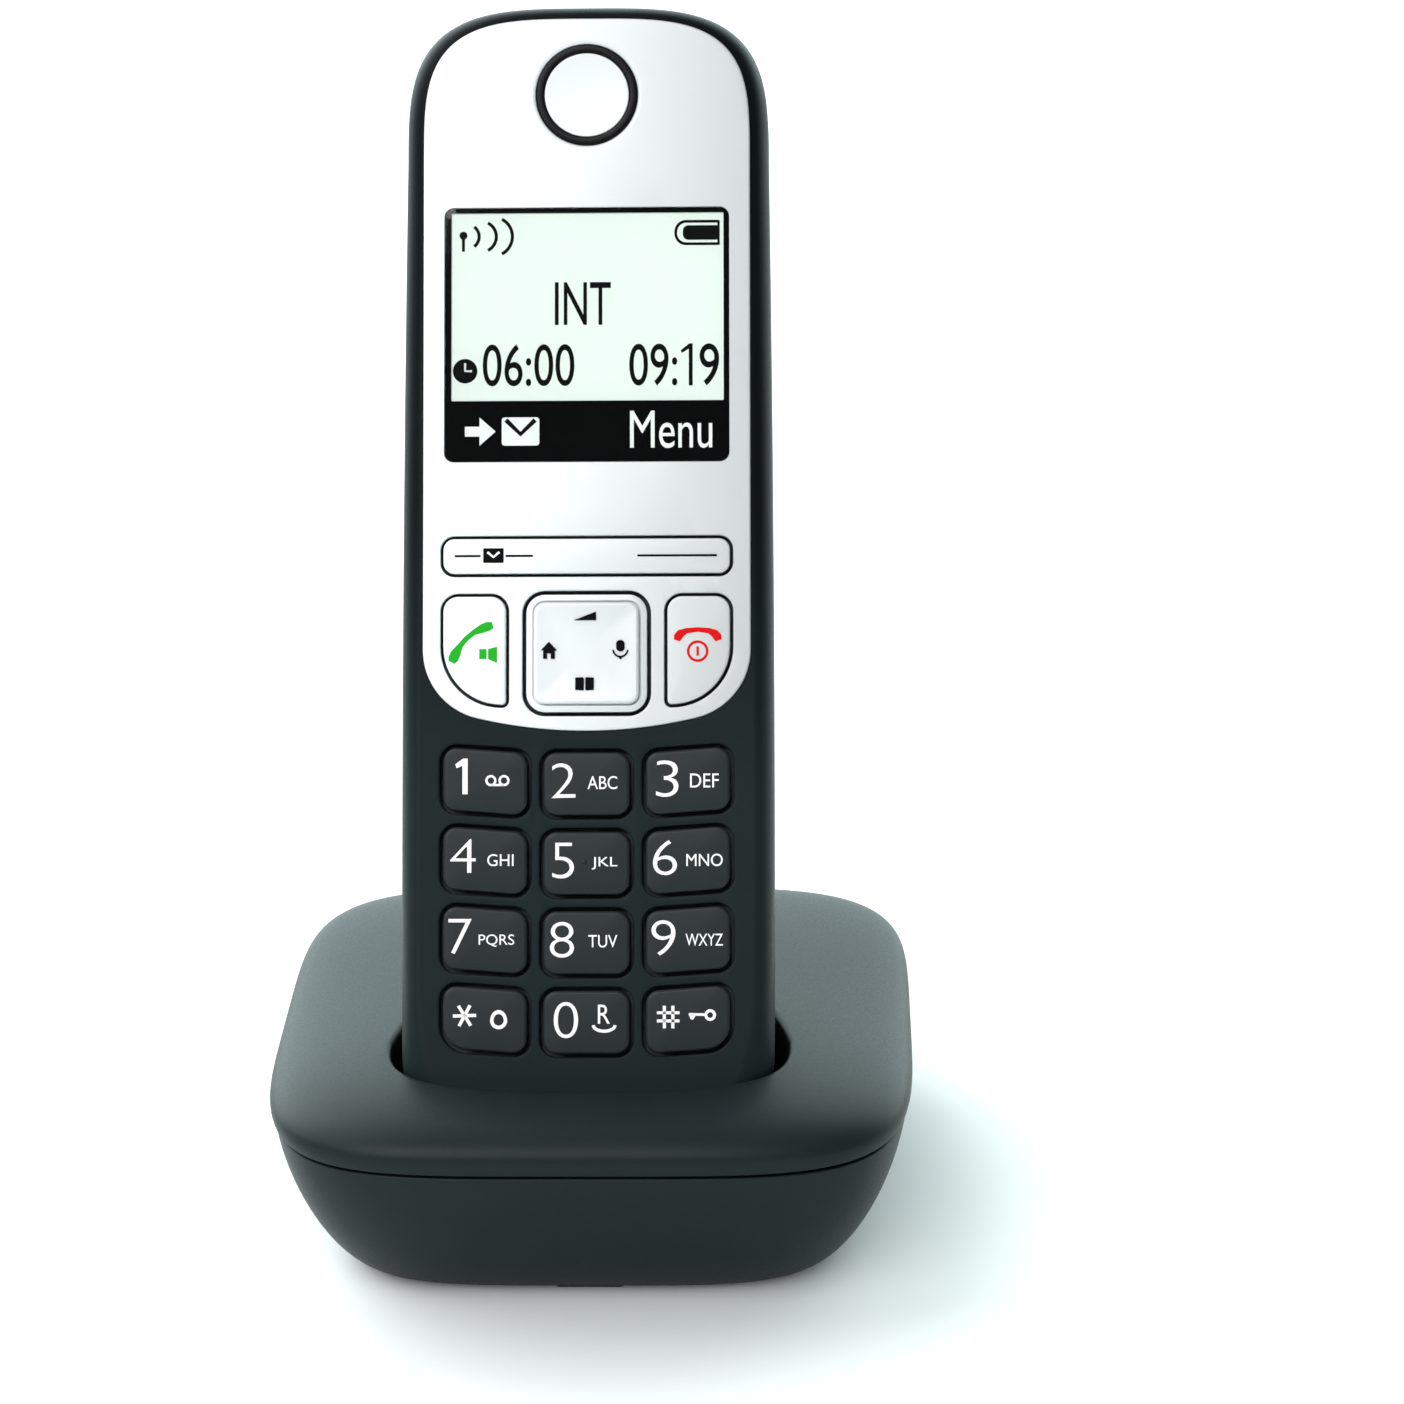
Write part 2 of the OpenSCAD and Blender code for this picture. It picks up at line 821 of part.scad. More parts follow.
module board_chips() {
    color(BLACK) in_row()
        in_handset() {
            block(-15, 6.6, 84, -7, 7.8, 90);
            block(2, 6.6, 84, 8, 7.6, 89);
            block(-17.5, 6.6, 96, -12, 8, 104);
        }
}

module receiver_capsule() {
    color(BLACK) in_row()
        in_handset()
            bar(0, earpiece_z, 2.1, 6.2, 6.4);
}

module loudspeaker() {
    color(BLACK) in_row()
        in_handset() {
            bar(0, 106, 19.5, handset_t - handset_wall - 0.2, 11);
            bar(0, 106, 16.5, 19.5, 7);
        }
}

module microphone() {
    color(METAL) in_row()
        in_handset()
            bar(0, 5.5, 2.1, 4.3, 2);
}

module handset_antenna() {
    color(METAL) in_row()
        in_handset() {
            block(-12, 8.2, 141, -11.4, 8.8, 145);
            block(-12, 8.2, 145, 12, 8.8, 147);
        }
}

module battery_cell(side) {
    in_handset()
        translate([side * cell_x, cell_y, cell_z]) {
            cylinder(h = cell_l - 1, r = cell_r);
            translate([0, 0, side > 0 ? cell_l - 1 : -0.8])
                cylinder(h = 0.8, r = 1.9);
        }
}

module battery_cell_left() {
    color([0.2, 0.5, 0.32]) in_row()
        battery_cell(-1);
}

module battery_cell_right() {
    color([0.2, 0.5, 0.32]) in_row()
        battery_cell(1);
}

module battery_springs() {
    color(METAL) in_row()
        in_handset() {
            translate([cell_x, cell_y, bay_bottom + 0.1])
                cylinder(h = cell_z - bay_bottom - 0.15, r1 = 3.6, r2 = 2);
            translate([-cell_x, cell_y, cell_z + cell_l - 0.95])
                cylinder(h = bay_top - cell_z - cell_l + 0.85, r1 = 2, r2 = 3.6);
        }
}

module battery_plates() {
    color(METAL) in_row()
        in_handset() {
            block(-9.5, cell_y - 4, bay_bottom + 0.05, -1.5, cell_y + 4, bay_bottom + 0.5);
            block(1.5, cell_y - 4, bay_top - 0.5, 9.5, cell_y + 4, bay_top - 0.05);
        }
}

module charge_pads() {
    color(METAL) in_row()
        in_handset()
            for (side = [-1, 1])
                block(
                    side * contact_x - 1.7, contact_y - 2, 1.4,
                    side * contact_x + 1.7, contact_y + 2, 3.8
                );
}

module handset_screws() {
    color(METAL) in_row()
        in_handset()
            for (p = screw_spots) {
                difference() {
                    bar(p.x, p.y, 13.25, 14.6, 1.95);
                    block(p.x - 1.1, 14.1, p.y - 0.25, p.x + 1.1, 15, p.y + 0.25);
                    block(p.x - 0.25, 14.1, p.y - 1.1, p.x + 0.25, 15, p.y + 1.1);
                }
                bar(p.x, p.y, 5.5, 13.3, 0.8);
            }
}

module battery_cover() {
    color(SHELL_COLOR) in_row()
        in_handset()
            difference() {
                intersection() {
                    rear_half(0);
                    slab(bay_floor + 8, handset_t + 1)
                        polygon(rounded_box(-cover_half_w, cover_bottom, cover_half_w, cover_top, 3));
                }
                rear_half(handset_wall - 0.1);
                for (k = [0 : 3])
                    block(
                        -6 + k * 0.6, handset_t - 0.35, 70 + k * 1.8,
                        6 - k * 0.6, handset_t + 1, 70.7 + k * 1.8
                    );
            }
}

// A key cap with the flange that keeps it under the shell.
module cap(column, row) {
    in_handset() {
        slab(-key_proud, cap_bottom)
            polygon(key_outline(column, row, 0));
        slab(flange_top, cap_bottom)
            polygon(key_outline(column, row, flange));
    }
}

module soft_key_bar() {
    color(PLATE_COLOR) in_row()
        in_handset() {
            slab(-0.3, cap_bottom + rocker_drop)
                polygon(soft_outline(0));
            slab(flange_top + rocker_drop, cap_bottom + rocker_drop)
                polygon(soft_outline(flange));
            bar(0, soft_mid, cap_bottom, 5.4, 0.7);
        }
}

module call_key(side) {
    in_handset() {
        slab(-0.3, cap_bottom)
            polygon(call_outline(side, 0));
        slab(flange_top, cap_bottom)
            polygon(call_outline(side, flange));
    }
}

module talk_key() {
    color(PLATE_COLOR) in_row()
        call_key(-1);
}

module end_key() {
    color(PLATE_COLOR) in_row()
        call_key(1);
}

module nav_pivot() {
    color(BLACK) in_row()
        in_handset()
            bar(0, nav_mid, pivot_y + 0.05, 5.4, 0.9);
}

module nav_key() {
    inner = 1.4;
    color(PLATE_COLOR) in_row()
        in_handset()
            difference() {
                union() {
                    slab(-0.1, cap_bottom + rocker_drop)
                        polygon(nav_outline(0));
                    slab(flange_top + rocker_drop, cap_bottom + rocker_drop)
                        polygon(nav_outline(flange));
                    slab(-0.7, 0)
                        polygon(nav_outline(-inner));
                }
                slab(-1, -0.45)
                    polygon(rounded_box(-3, nav_mid - 3, 3, nav_mid + 3, 2));
            }
}

module key_1() { color(SHELL_COLOR) in_row() cap(-1, 0); }
module key_2() { color(SHELL_COLOR) in_row() cap(0, 0); }
module key_3() { color(SHELL_COLOR) in_row() cap(1, 0); }
module key_4() { color(SHELL_COLOR) in_row() cap(-1, 1); }
module key_5() { color(SHELL_COLOR) in_row() cap(0, 1); }
module key_6() { color(SHELL_COLOR) in_row() cap(1, 1); }
module key_7() { color(SHELL_COLOR) in_row() cap(-1, 2); }
module key_8() { color(SHELL_COLOR) in_row() cap(0, 2); }
module key_9() { color(SHELL_COLOR) in_row() cap(1, 2); }
module key_star() { color(SHELL_COLOR) in_row() cap(-1, 3); }
module key_0() { color(SHELL_COLOR) in_row() cap(0, 3); }
module key_hash() { color(SHELL_COLOR) in_row() cap(1, 3); }

base_top_shell();
base_bottom_shell();
base_board();
base_board_chips();
base_antenna();
power_jack();
line_jack();
contact_block();
base_feet();
front_foot();
base_screws();
base_contact_left();
base_contact_right();
page_key();
handset_front_shell();
handset_rear_shell();
faceplate();
earpiece_ring();
earpiece_disc();
display_window();
lcd_panel();
lcd_holder();
keymat();
main_board();
board_shield();
board_chips();
receiver_capsule();
loudspeaker();
microphone();
handset_antenna();
battery_cell_left();
battery_cell_right();
battery_springs();
battery_plates();
charge_pads();
handset_screws();
battery_cover();
soft_key_bar();
talk_key();
end_key();
nav_pivot();
nav_key();
key_1();
key_2();
key_3();
key_4();
key_5();
key_6();
key_7();
key_8();
key_9();
key_star();
key_0();
key_hash();
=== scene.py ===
from math import acos, atan, atan2, cos, pi, radians, sin, sqrt, tan

import bmesh
import bpy
import numpy as np
from mathutils import Matrix, Vector


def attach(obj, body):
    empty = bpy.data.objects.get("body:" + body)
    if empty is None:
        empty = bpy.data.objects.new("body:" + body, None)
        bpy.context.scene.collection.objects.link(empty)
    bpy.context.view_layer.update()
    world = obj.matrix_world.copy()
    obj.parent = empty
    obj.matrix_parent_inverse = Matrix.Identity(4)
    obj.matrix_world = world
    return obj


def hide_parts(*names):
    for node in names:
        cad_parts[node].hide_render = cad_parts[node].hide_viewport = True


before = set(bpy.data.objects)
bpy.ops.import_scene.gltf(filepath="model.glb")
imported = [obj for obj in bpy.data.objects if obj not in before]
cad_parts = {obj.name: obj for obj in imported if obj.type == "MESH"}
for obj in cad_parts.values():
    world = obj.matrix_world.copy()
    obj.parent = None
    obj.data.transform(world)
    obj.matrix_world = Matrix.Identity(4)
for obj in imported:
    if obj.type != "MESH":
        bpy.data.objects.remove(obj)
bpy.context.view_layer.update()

# ---- Sizes in millimetres, the same as in the CAD source ----

MM = 0.001
BASE_BODIES = ("base", "page_button", "contact_left", "contact_right")
PLAN_Y = -2.05
AROUND = 256
BASE_HALF_W = 42.5
BASE_HALF_D = 44.8
PLAN_POWER = 4.6
PARTING_Z = 21.5
RISE_FRONT = 8.5
RISE_REAR = 4.2
UNDERSIDE_SHARE = 0.77
FOOT_H = 0.6
BASE_WALL = 1.8
SHELL_STEP = 0.7
SHELL_ROUND = 0.25
FOOT_SPOTS = [(-24, -25.5), (24, -25.5), (-24, 26), (24, 26)]
FOOT_R = 3.6
FRONT_PAD = (-5, -33.6, 5, -30.5)
POST_SPOTS = [(-16, -27), (16, -27), (-26, 8), (26, 8)]
JACK_X = 13
JACK_Z = 9
JACK_HALF_W = 5
JACK_HALF_H = 4.4
PAGE_Z = 13
PAGE_HOLE_R = 3.6

LEAN = radians(24.5)
LIP_Y = -30.4
LIP_Z = 26.5
SUNK = 10
POCKET_HALF_W = 26
POCKET_FRONT = -3.1
POCKET_MID = 10.6
POCKET_REAR = 26.8
POCKET_TAPER = 0.12
POCKET_FLOOR = -0.35
POCKET_WALL = 1.6
POCKET_ROUND = 0.8
LIP_ROUND = 0.8
CONTACT_X = 9
CONTACT_Y = 19
CONTACT_REACH = 1.2

HANDSET_L = 151.97
HANDSET_HALF_W = 24.25
HANDSET_T = 26
SEAM_Y = 9
HANDSET_WALL = 1.7
FACE_WALL = 2.0
TOP_START = 131
BOTTOM_START = 16
CHIN = 12
BARREL = 0.000082
BARREL_MID = 48
EDGE_IN = 2.7
EDGE_D = 4.5
BACK_IN = 11
BACK_D = HANDSET_T - SEAM_Y

PLATE_T = 1.0
PLATE_HALF_W = 21.3
PLATE_CORNER = 9.2
PLATE_SWEEP = 62
PLATE_BOTTOM = SUNK + 46.66
PLATE_TOP = SUNK + 139.9
WINDOW_HALF_W = 18.5
WINDOW_BOTTOM = SUNK + 81.7
WINDOW_TOP = SUNK + 114.95
EARPIECE_Z = SUNK + 129.8
EARPIECE_R = 6.65
EARPIECE_BAND = 1.1
KEY_GAP = 0.35
KEY_PROUD = 0.5
KEY_CROWN = 0.1
KEY_OUTER_X = 18.65
KEY_INNER_X = 7.55
KEY_MID_HALF = 5.7
KEY_ROW_TOP = SUNK + 43.8
KEY_PITCH = 10.25
KEY_H = 8.35
KEY_SMILE = 178
KEY_MID_LIFT = 0.2
SOFT_BOTTOM = SUNK + 67.05
SOFT_TOP = SUNK + 71.7
CALL_BOTTOM = SUNK + 50.05
CALL_TOP = SUNK + 64.2
NAV_BOTTOM = SUNK + 48.95
NAV_TOP = SUNK + 64.55
NAV_HALF_W = 8
CAP_BOTTOM = 2.65
SILVER_PROUD = 0.3
COVER_HALF_W = 14.5
COVER_BOTTOM = 27
COVER_TOP = 80.2
COVER_T = 1.6
COVER_ROUND = 0.3
COVER_GAP = 0.2
BAY_LOW = 26
BAY_HIGH = 80
BAY_HALF_W = 12.2
BAY_WALL = 1.2
CELL_D = 10.5
CELL_FLOOR = HANDSET_T - HANDSET_WALL - 0.4 - CELL_D - 0.3
SEAM_ROUND = 0.22
SCREW_SPOTS = [(-15, 8.5), (15, 8.5), (-13, 130.3), (13, 130.3)]
SCREW_TUBE_R = 3.1
SCREW_WELL_R = 2.2

# A quarter round in six steps, as shares of its radius: in from the side, and off the end.
QUARTER = [radians(15 * k) for k in range(7)]
ROUND = [(1 - cos(a), 1 - sin(a)) for a in QUARTER]


def placed(points):
    """Points of the handset's frame (x, depth from its face, height from its low end) in the row frame."""
    p = np.asarray(points, float)
    c, s = cos(LEAN), sin(LEAN)
    y = LIP_Y + p[..., 1] * c + (p[..., 2] - SUNK) * s
    z = LIP_Z - p[..., 1] * s + (p[..., 2] - SUNK) * c
    return np.stack([p[..., 0], y, z], -1)


# ---- Mesh making ----

def new_object(name, mesh):
    piece = bpy.data.objects.new(name, mesh)
    bpy.context.scene.collection.objects.link(piece)
    return piece


def clean(mesh, weld=2e-5):
    """Welds the mesh's twin points and turns its faces outwards."""
    bm = bmesh.new()
    bm.from_mesh(mesh)
    bmesh.ops.remove_doubles(bm, verts=bm.verts, dist=weld)
    bmesh.ops.dissolve_degenerate(bm, edges=bm.edges, dist=weld)
    bmesh.ops.recalc_face_normals(bm, faces=bm.faces)
    bm.to_mesh(mesh)
    bm.free()
    mesh.update()


def solid(name, points, faces):
    mesh = bpy.data.meshes.new(name)
    mesh.from_pydata(np.asarray(points, float).tolist(), [], faces)
    clean(mesh)
    return new_object(name, mesh)


def between(here, there, n):
    """The faces between two rings of n points, from the number of each one's first point."""
    return [(here + j, there + j, there + (j + 1) % n, here + (j + 1) % n) for j in range(n)]


def skin(name, rings, first=None, last=None):
    """A closed skin over a stack of rings, with a fan to a centre point at each end."""
    rings = [np.asarray(r, float) for r in rings]
    n = len(rings[0])
    first = rings[0].mean(0) if first is None else np.asarray(first, float)
    last = rings[-1].mean(0) if last is None else np.asarray(last, float)
    points = np.concatenate(rings + [first[None], last[None]])
    faces = []
    for k in range(len(rings) - 1):
        faces += between(k * n, (k + 1) * n, n)
    top, base = len(rings) * n, (len(rings) - 1) * n
    for j in range(n):
        i = (j + 1) % n
        faces.append((top, j, i))
        faces.append((top + 1, base + i, base + j))
    return solid(name, points, faces)


def band(name, rings):
    """A closed skin over a stack of rings whose last one meets the first."""
    n, count = len(rings[0]), len(rings)
    faces = []
    for k in range(count):
        faces += between(k * n, (k + 1) % count * n, n)
    return solid(name, np.concatenate(rings), faces)


def settle(piece):
    """Applies the piece's modifiers to its mesh."""
    graph = bpy.context.evaluated_depsgraph_get()
    mesh = bpy.data.meshes.new_from_object(piece.evaluated_get(graph))
    piece.modifiers.clear()
    piece.data = mesh


def in_triangles(mesh):
    bm = bmesh.new()
    bm.from_mesh(mesh)
    bmesh.ops.triangulate(bm, faces=bm.faces)
    bm.to_mesh(mesh)
    bm.free()


def carve(piece, cutters):
    in_triangles(piece.data)
    for cutter in cutters:
        in_triangles(cutter.data)
        cut = piece.modifiers.new("cut", "BOOLEAN")
        cut.operation = "DIFFERENCE"
        cut.solver = "EXACT"
        cut.object = cutter
    settle(piece)
    for cutter in cutters:
        bpy.data.objects.remove(cutter)
    clean(piece.data)


def smooth(piece, angle=32):
    """Smooth shading with true edges kept, and flat faces kept flat."""
    mesh = piece.data
    mesh.polygons.foreach_set("use_smooth", [True] * len(mesh.polygons))
    mesh.set_sharp_from_angle(angle=radians(angle))
    weighted = piece.modifiers.new("flat_faces", "WEIGHTED_NORMAL")
    weighted.keep_sharp = True
    settle(piece)


def joined(name, pieces):
    """One object from several."""
    bm = bmesh.new()
    for piece in pieces:
        bm.from_mesh(piece.data)
    mesh = bpy.data.meshes.new(name)
    bm.to_mesh(mesh)
    bm.free()
    for piece in pieces:
        bpy.data.objects.remove(piece)
    return new_object(name, mesh)


def finished(piece, body, material, nodes=(), angle=32):
    """Puts a piece in its place, gives it its material, hangs it on the body it rides on, and hides the CAD
    parts it replaces.
    """
    mesh = piece.data
    if body not in BASE_BODIES:
        points = np.array([v.co for v in mesh.vertices], float)
        mesh.vertices.foreach_set("co", placed(points).ravel().astype(np.float32))
    mesh.transform(Matrix.Scale(MM, 4) @ Matrix.Translation((0, PLAN_Y, 0)))
    mesh.update()
    smooth(piece, angle)
    piece.data.materials.clear()
    piece.data.materials.append(material)
    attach(piece, body)
    if nodes:
        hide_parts(*nodes)
    return piece


# ---- Outlines in the face, as (x, z) loops ----

def unit(v):
    return v / np.linalg.norm(v)


def rounded(points, radii, steps=10):
    """A polygon with a radius for each corner."""
    out = []
    n = len(points)
    for i in range(n):
        a, b, c = (np.array(points[(i + k) % n], float) for k in (-1, 0, 1))
        r, u, w = radii[i], unit(a - b), unit(c - b)
        half = acos(max(-1, min(1, float(u @ w)))) / 2
        mid = b + unit(u + w) * r / sin(half)
        start, end = b + u * r / tan(half) - mid, b + w * r / tan(half) - mid
        a0 = atan2(start[1], start[0])
        turn = (atan2(end[1], end[0]) - a0 + 3 * pi) % (2 * pi) - pi
        for k in range(steps + 1):
            t = a0 + turn * k / steps
            out.append(mid + r * np.array([cos(t), sin(t)]))
    return np.array(out)


def rounded_box(x0, z0, x1, z1, r, steps=10):
    return rounded([(x0, z0), (x1, z0), (x1, z1), (x0, z1)], [r] * 4, steps)


def slot_loop(x, z, half_w, half_h, r, steps=10):
    return rounded_box(x - half_w, z - half_h, x + half_w, z + half_h, r, steps)


def circle(x, z, r, steps=64):
    t = np.arange(steps) * 2 * pi / steps
    return np.stack([x + r * np.cos(t), z + r * np.sin(t)], 1)


def lobe_arc(half_x, mid_z, reach_z, power, a0, a1, steps):
    """Part of a superellipse about (0, mid_z), from angle a0 to a1 in degrees."""
    t = np.radians(np.linspace(a0, a1, steps + 1))
    x = half_x * np.sign(np.cos(t)) * np.abs(np.cos(t)) ** (2 / power)
    z = mid_z + reach_z * np.sign(np.sin(t)) * np.abs(np.sin(t)) ** (2 / power)
    return np.stack([x, z], 1)


def plate_outline(g):
    """The faceplate: a wide sweep below, straight sides and a superellipse on top, grown by g."""
    r, big = PLATE_CORNER + g, PLATE_SWEEP + g
    big_mid = PLATE_BOTTOM + PLATE_SWEEP
    low_x = PLATE_HALF_W - PLATE_CORNER
    low_z = big_mid - sqrt((big - r) ** 2 - low_x * low_x)
    meet_angle = atan(low_x / (big_mid - low_z))
    top_from = SUNK + 121
    t = np.linspace(-meet_angle, meet_angle, 25)
    bottom = np.stack([big * np.sin(t), big_mid - big * np.cos(t)], 1)
    t = np.linspace(meet_angle, pi / 2, 17)[1:]
    right = np.stack([low_x + r * np.sin(t), low_z - r * np.cos(t)], 1)
    top = lobe_arc(PLATE_HALF_W + g, top_from, PLATE_TOP + g - top_from, 3.6, 0, 180, 96)
    left = right[::-1] * [-1, 1]
    return np.concatenate([bottom, right, top, left])


def box_outline(x0, z0, x1, z1, r, steps=10):
    """A rounded box, as a function of how far it grows."""
    return lambda g: rounded_box(x0 - g, z0 - g, x1 + g, z1 + g, r + g, steps)


def round_outline(x, z, r, steps=64):
    return lambda g: circle(x, z, r + g, steps)


window_outline = box_outline(-WINDOW_HALF_W, WINDOW_BOTTOM, WINDOW_HALF_W, WINDOW_TOP, 1.2)
soft_outline = box_outline(-KEY_OUTER_X, SOFT_BOTTOM, KEY_OUTER_X, SOFT_TOP, 1.5)
nav_outline = box_outline(-NAV_HALF_W, NAV_BOTTOM, NAV_HALF_W, NAV_TOP, 2.6)


def call_outline(side):
    def outline(g):
        x0, x1 = 10.4 - g, KEY_OUTER_X + g
        low, top = CALL_BOTTOM - g, CALL_TOP + g
        loop = rounded(
            [(x0, top), (x0, low), (x1, low), (x1, top)], [2 + g, 0.6 + g, 7.6 + g, 2 + g], 14
        )
        return loop * [side, 1]
    return outline


def key_outline(column, row):
    def outline(g):
        x0 = -KEY_MID_HALF if column == 0 else KEY_INNER_X
        x1 = KEY_MID_HALF if column == 0 else KEY_OUTER_X
        lift0, lift1 = (KEY_MID_LIFT if column == 0 else x * x / (2 * KEY_SMILE) for x in (x0, x1))
        top = KEY_ROW_TOP - row * KEY_PITCH
        low = top - KEY_H
        outer_r = 3.4 if row == 3 and column != 0 else 1.9
        corners = [
            (x0 - g, low - g + lift0), (x1 + g, low - g + lift1),
            (x1 + g, top + g + lift1), (x0 - g, top + g + lift0),
        ]
        loop = rounded(corners, [1.9 + g, outer_r + g, 1.9 + g, 1.9 + g], 12)
        return loop * [-1 if column < 0 else 1, 1]
    return outline


# ---- Solids from outlines ----

def at_height(loop, z):
    """A loop of the plan at a height."""
    return np.stack([loop[:, 0], loop[:, 1], np.full(len(loop), z)], 1)


def loop_at(loop, depth):
    """A loop of the face at a depth, or at a depth for each point."""
    depth = np.broadcast_to(depth, (len(loop),))
    return np.stack([loop[:, 0], depth, loop[:, 1]], 1)


def prism(name, loop, depth0, depth1):
    """A flat-ended solid through the face, for cutting."""
    return skin(name, [loop_at(loop, depth0), loop_at(loop, depth1)])


def flare(name, outline, gap, wide, deep, bottom):
    """A cutter whose hole has a rounded edge: wide across the face and deep into it."""
    rings = [loop_at(outline(gap), bottom)]
    for k in range(6):
        a = radians(18 * k)
        rings.append(loop_at(outline(gap + wide * (1 - cos(a))), deep * (1 - sin(a))))
    rings.append(loop_at(outline(gap + wide), -1))
    return skin(name, rings)


def cap(name, outline, proud, bottom, edge, crown=0.0, dish=0.0, slack=0.0):
    """A key or plate: a crowned or dished front with a rounded edge, down to a flat back."""
    rings = []
    mid = outline(0).mean(0)
    front = outline(-edge - slack)
    for share in (0.12, 0.3, 0.5, 0.68, 0.82, 0.92, 0.97):
        loop = mid + (front - mid) * share
        rings.append(loop_at(loop, -proud - (crown - dish) * (1 - share * share)))
    for out, up in ROUND:
        rings.append(loop_at(outline(-edge * up - slack), -proud + edge * out))
    rings.append(loop_at(outline(-slack), bottom))
    return skin(name, rings, [mid[0], -proud - crown + dish, mid[1]], [mid[0], bottom, mid[1]])


def box(name, x0, y0, z0, x1, y1, z1):
    points = [(x, y, z) for z in (z0, z1) for y in (y0, y1) for x in (x0, x1)]
    faces = [(0, 1, 3, 2), (4, 6, 7, 5), (0, 4, 5, 1), (2, 3, 7, 6), (0, 2, 6, 4), (1, 5, 7, 3)]
    return solid(name, points, faces)


def turned(name, profile, spot, along="z", steps=64):
    """A solid of revolution from (radius, height) pairs, standing on a point of the base."""
    rings = []
    for r, h in profile:
        c = circle(0, 0, r, steps)
        ring = at_height(c, h) if along == "z" else loop_at(c, -h)
        rings.append(ring + spot)
    return skin(name, rings)


# ---- Base surfaces ----

ANGLES = np.arange(AROUND) * 2 * pi / AROUND


def lobe(a, b, p, t):
    """Radius of a superellipse at angles t."""
    return 1 / (np.abs(np.cos(t) / a) ** p + np.abs(np.sin(t) / b) ** p) ** (1 / p)


def dome(x, y, inset=0.0):
    """Height of the domed top over points of the plan."""
    p = 4.0
    for _ in range(5):
        total = np.abs(x / (BASE_HALF_W - inset)) ** p + np.abs(y / (BASE_HALF_D - inset)) ** p
        rho = total ** (1 / p)
        p = 3.5 + 1.1 * np.minimum(rho, 1) ** 3
    rise = (RISE_FRONT + RISE_REAR) / 2 + (RISE_REAR - RISE_FRONT) / 2 * y / BASE_HALF_D - inset
    return PARTING_Z + rise * (1 - np.minimum(rho, 1) ** 3.05) ** (1 / 3.05)


def tucked_in(z):
    """How far the top shell's foot draws in towards the parting line."""
    return 0.45 * np.clip((PARTING_Z + 2.6 - z) / 2.6, 0, 1) ** 2


def around(r):
    """A loop of the plan from its radius at each of the angles."""
    return np.stack([r * np.cos(ANGLES), r * np.sin(ANGLES)], 1)


def edge_ring(inset, z):
    return at_height(around(lobe(BASE_HALF_W - inset, BASE_HALF_D - inset, PLAN_POWER, ANGLES)), z)


def pocket_loop(g):
    """The pocket across the handset's length: rounder in front, narrower towards the back."""
    front = np.sin(ANGLES) < 0
    half_d = np.where(front, POCKET_MID - POCKET_FRONT, POCKET_REAR - POCKET_MID)
    power = np.where(front, 3.0, 4.0)
    x, y = around(lobe(POCKET_HALF_W + g, half_d + g, power, ANGLES)).T
    taper = 1 - POCKET_TAPER * np.maximum(0, y / half_d)
    return np.stack([x * taper, POCKET_MID + y], 1)


def wall_ring(g, z):
    return placed(at_height(pocket_loop(g), z))


def rim_ring(g, drop, inset=0.0):
    """The pocket's outline where it meets the top."""
    x, y = pocket_loop(g).T
    c, s = cos(LEAN), sin(LEAN)
    z = np.zeros(AROUND)
    for _ in range(8):
        plan_y = LIP_Y + y * c + (z - SUNK) * s
        z = (dome(x, plan_y, inset) - LIP_Z + y * s) / c + SUNK
    return placed(np.stack([x, y, z - drop], 1))


def top_ring(g, share, inset):
    """A ring of the dome, some share of the way from the pocket's rim to the edge."""
    rim, edge = rim_ring(g, 0, inset), edge_ring(inset, PARTING_Z)
    x, y = (rim + (edge - rim) * share)[:, :2].T
    z = dome(x, y, inset)
    tuck = 1 - tucked_in(z) / BASE_HALF_W
    return np.stack([x * tuck, y * tuck, z], 1)


def lower_ring(share, inset):
    """A ring of the bottom shell, some share of the way up to the parting line."""
    k = 1 - (1 - (1 - share) ** 1.47) ** (1 / 1.47)
    size = 1 - (1 - UNDERSIDE_SHARE) * k
    a = (BASE_HALF_W - SHELL_STEP) * size - inset
    b = (BASE_HALF_D - SHELL_STEP) * size - inset
    low = FOOT_H + inset
    return at_height(around(lobe(a, b, PLAN_POWER, ANGLES)), low + (PARTING_Z - low) * share)


# ---- Handset surfaces ----

def ease(share):
    return 1 - sqrt(max(0.0, 1 - share * share))


def edge_inset(depth):
    if depth < EDGE_D:
        return EDGE_IN * ease((EDGE_D - depth) / EDGE_D)
    if depth > SEAM_Y:
        return BACK_IN * ease((depth - SEAM_Y) / BACK_D)
    return 0.0


def half_width(z):
    return HANDSET_HALF_W - BARREL * (z - BARREL_MID) ** 2


def handset_ring(y, depth, wall, extra=0.0):
    """The handset's outline at depth y, drawn in by a wall thickness."""
    edge = edge_inset(depth)
    inset = edge + wall + extra
    top_in = edge * 0.8 + wall + extra
    low_in = edge * 0.4 + wall + extra
    low_start = BOTTOM_START + (CHIN * edge / EDGE_IN if depth < EDGE_D else 0)
    top = lobe_arc(
        half_width(TOP_START) - inset, TOP_START, HANDSET_L - TOP_START - top_in, 3.5, 0, 180, 108
    )
    low = lobe_arc(half_width(low_start) - inset, low_start, low_start - low_in, 2.6, 180, 360, 72)
    z = np.linspace(low_start, TOP_START, 31)[1:-1]
    side = np.stack([half_width(z) - inset, z], 1)
    loop = np.concatenate([top, side[::-1] * [-1, 1], low, side])
    return loop_at(loop, float(y))


def back_depth(x, z):
    """Depth of the handset's back over a point, between its two rounded ends."""
    share = np.clip((half_width(z) - np.abs(x)) / BACK_IN, 0, 1)
    return SEAM_Y + BACK_D * np.sqrt(1 - (1 - share) ** 2)


# ---- Materials ----

BUMP_DEPTH = 0.04
ANTHRACITE = (0.0085, 0.0145, 0.016), (0.0105, 0.0175, 0.019)


def shader(name):
    material = bpy.data.materials.new(name)
    material.use_nodes = True
    return material, material.node_tree


def fill(node, values):
    """Sets a node's open sockets."""
    for key, value in values.items():
        node.inputs[key].default_value = value
    return node


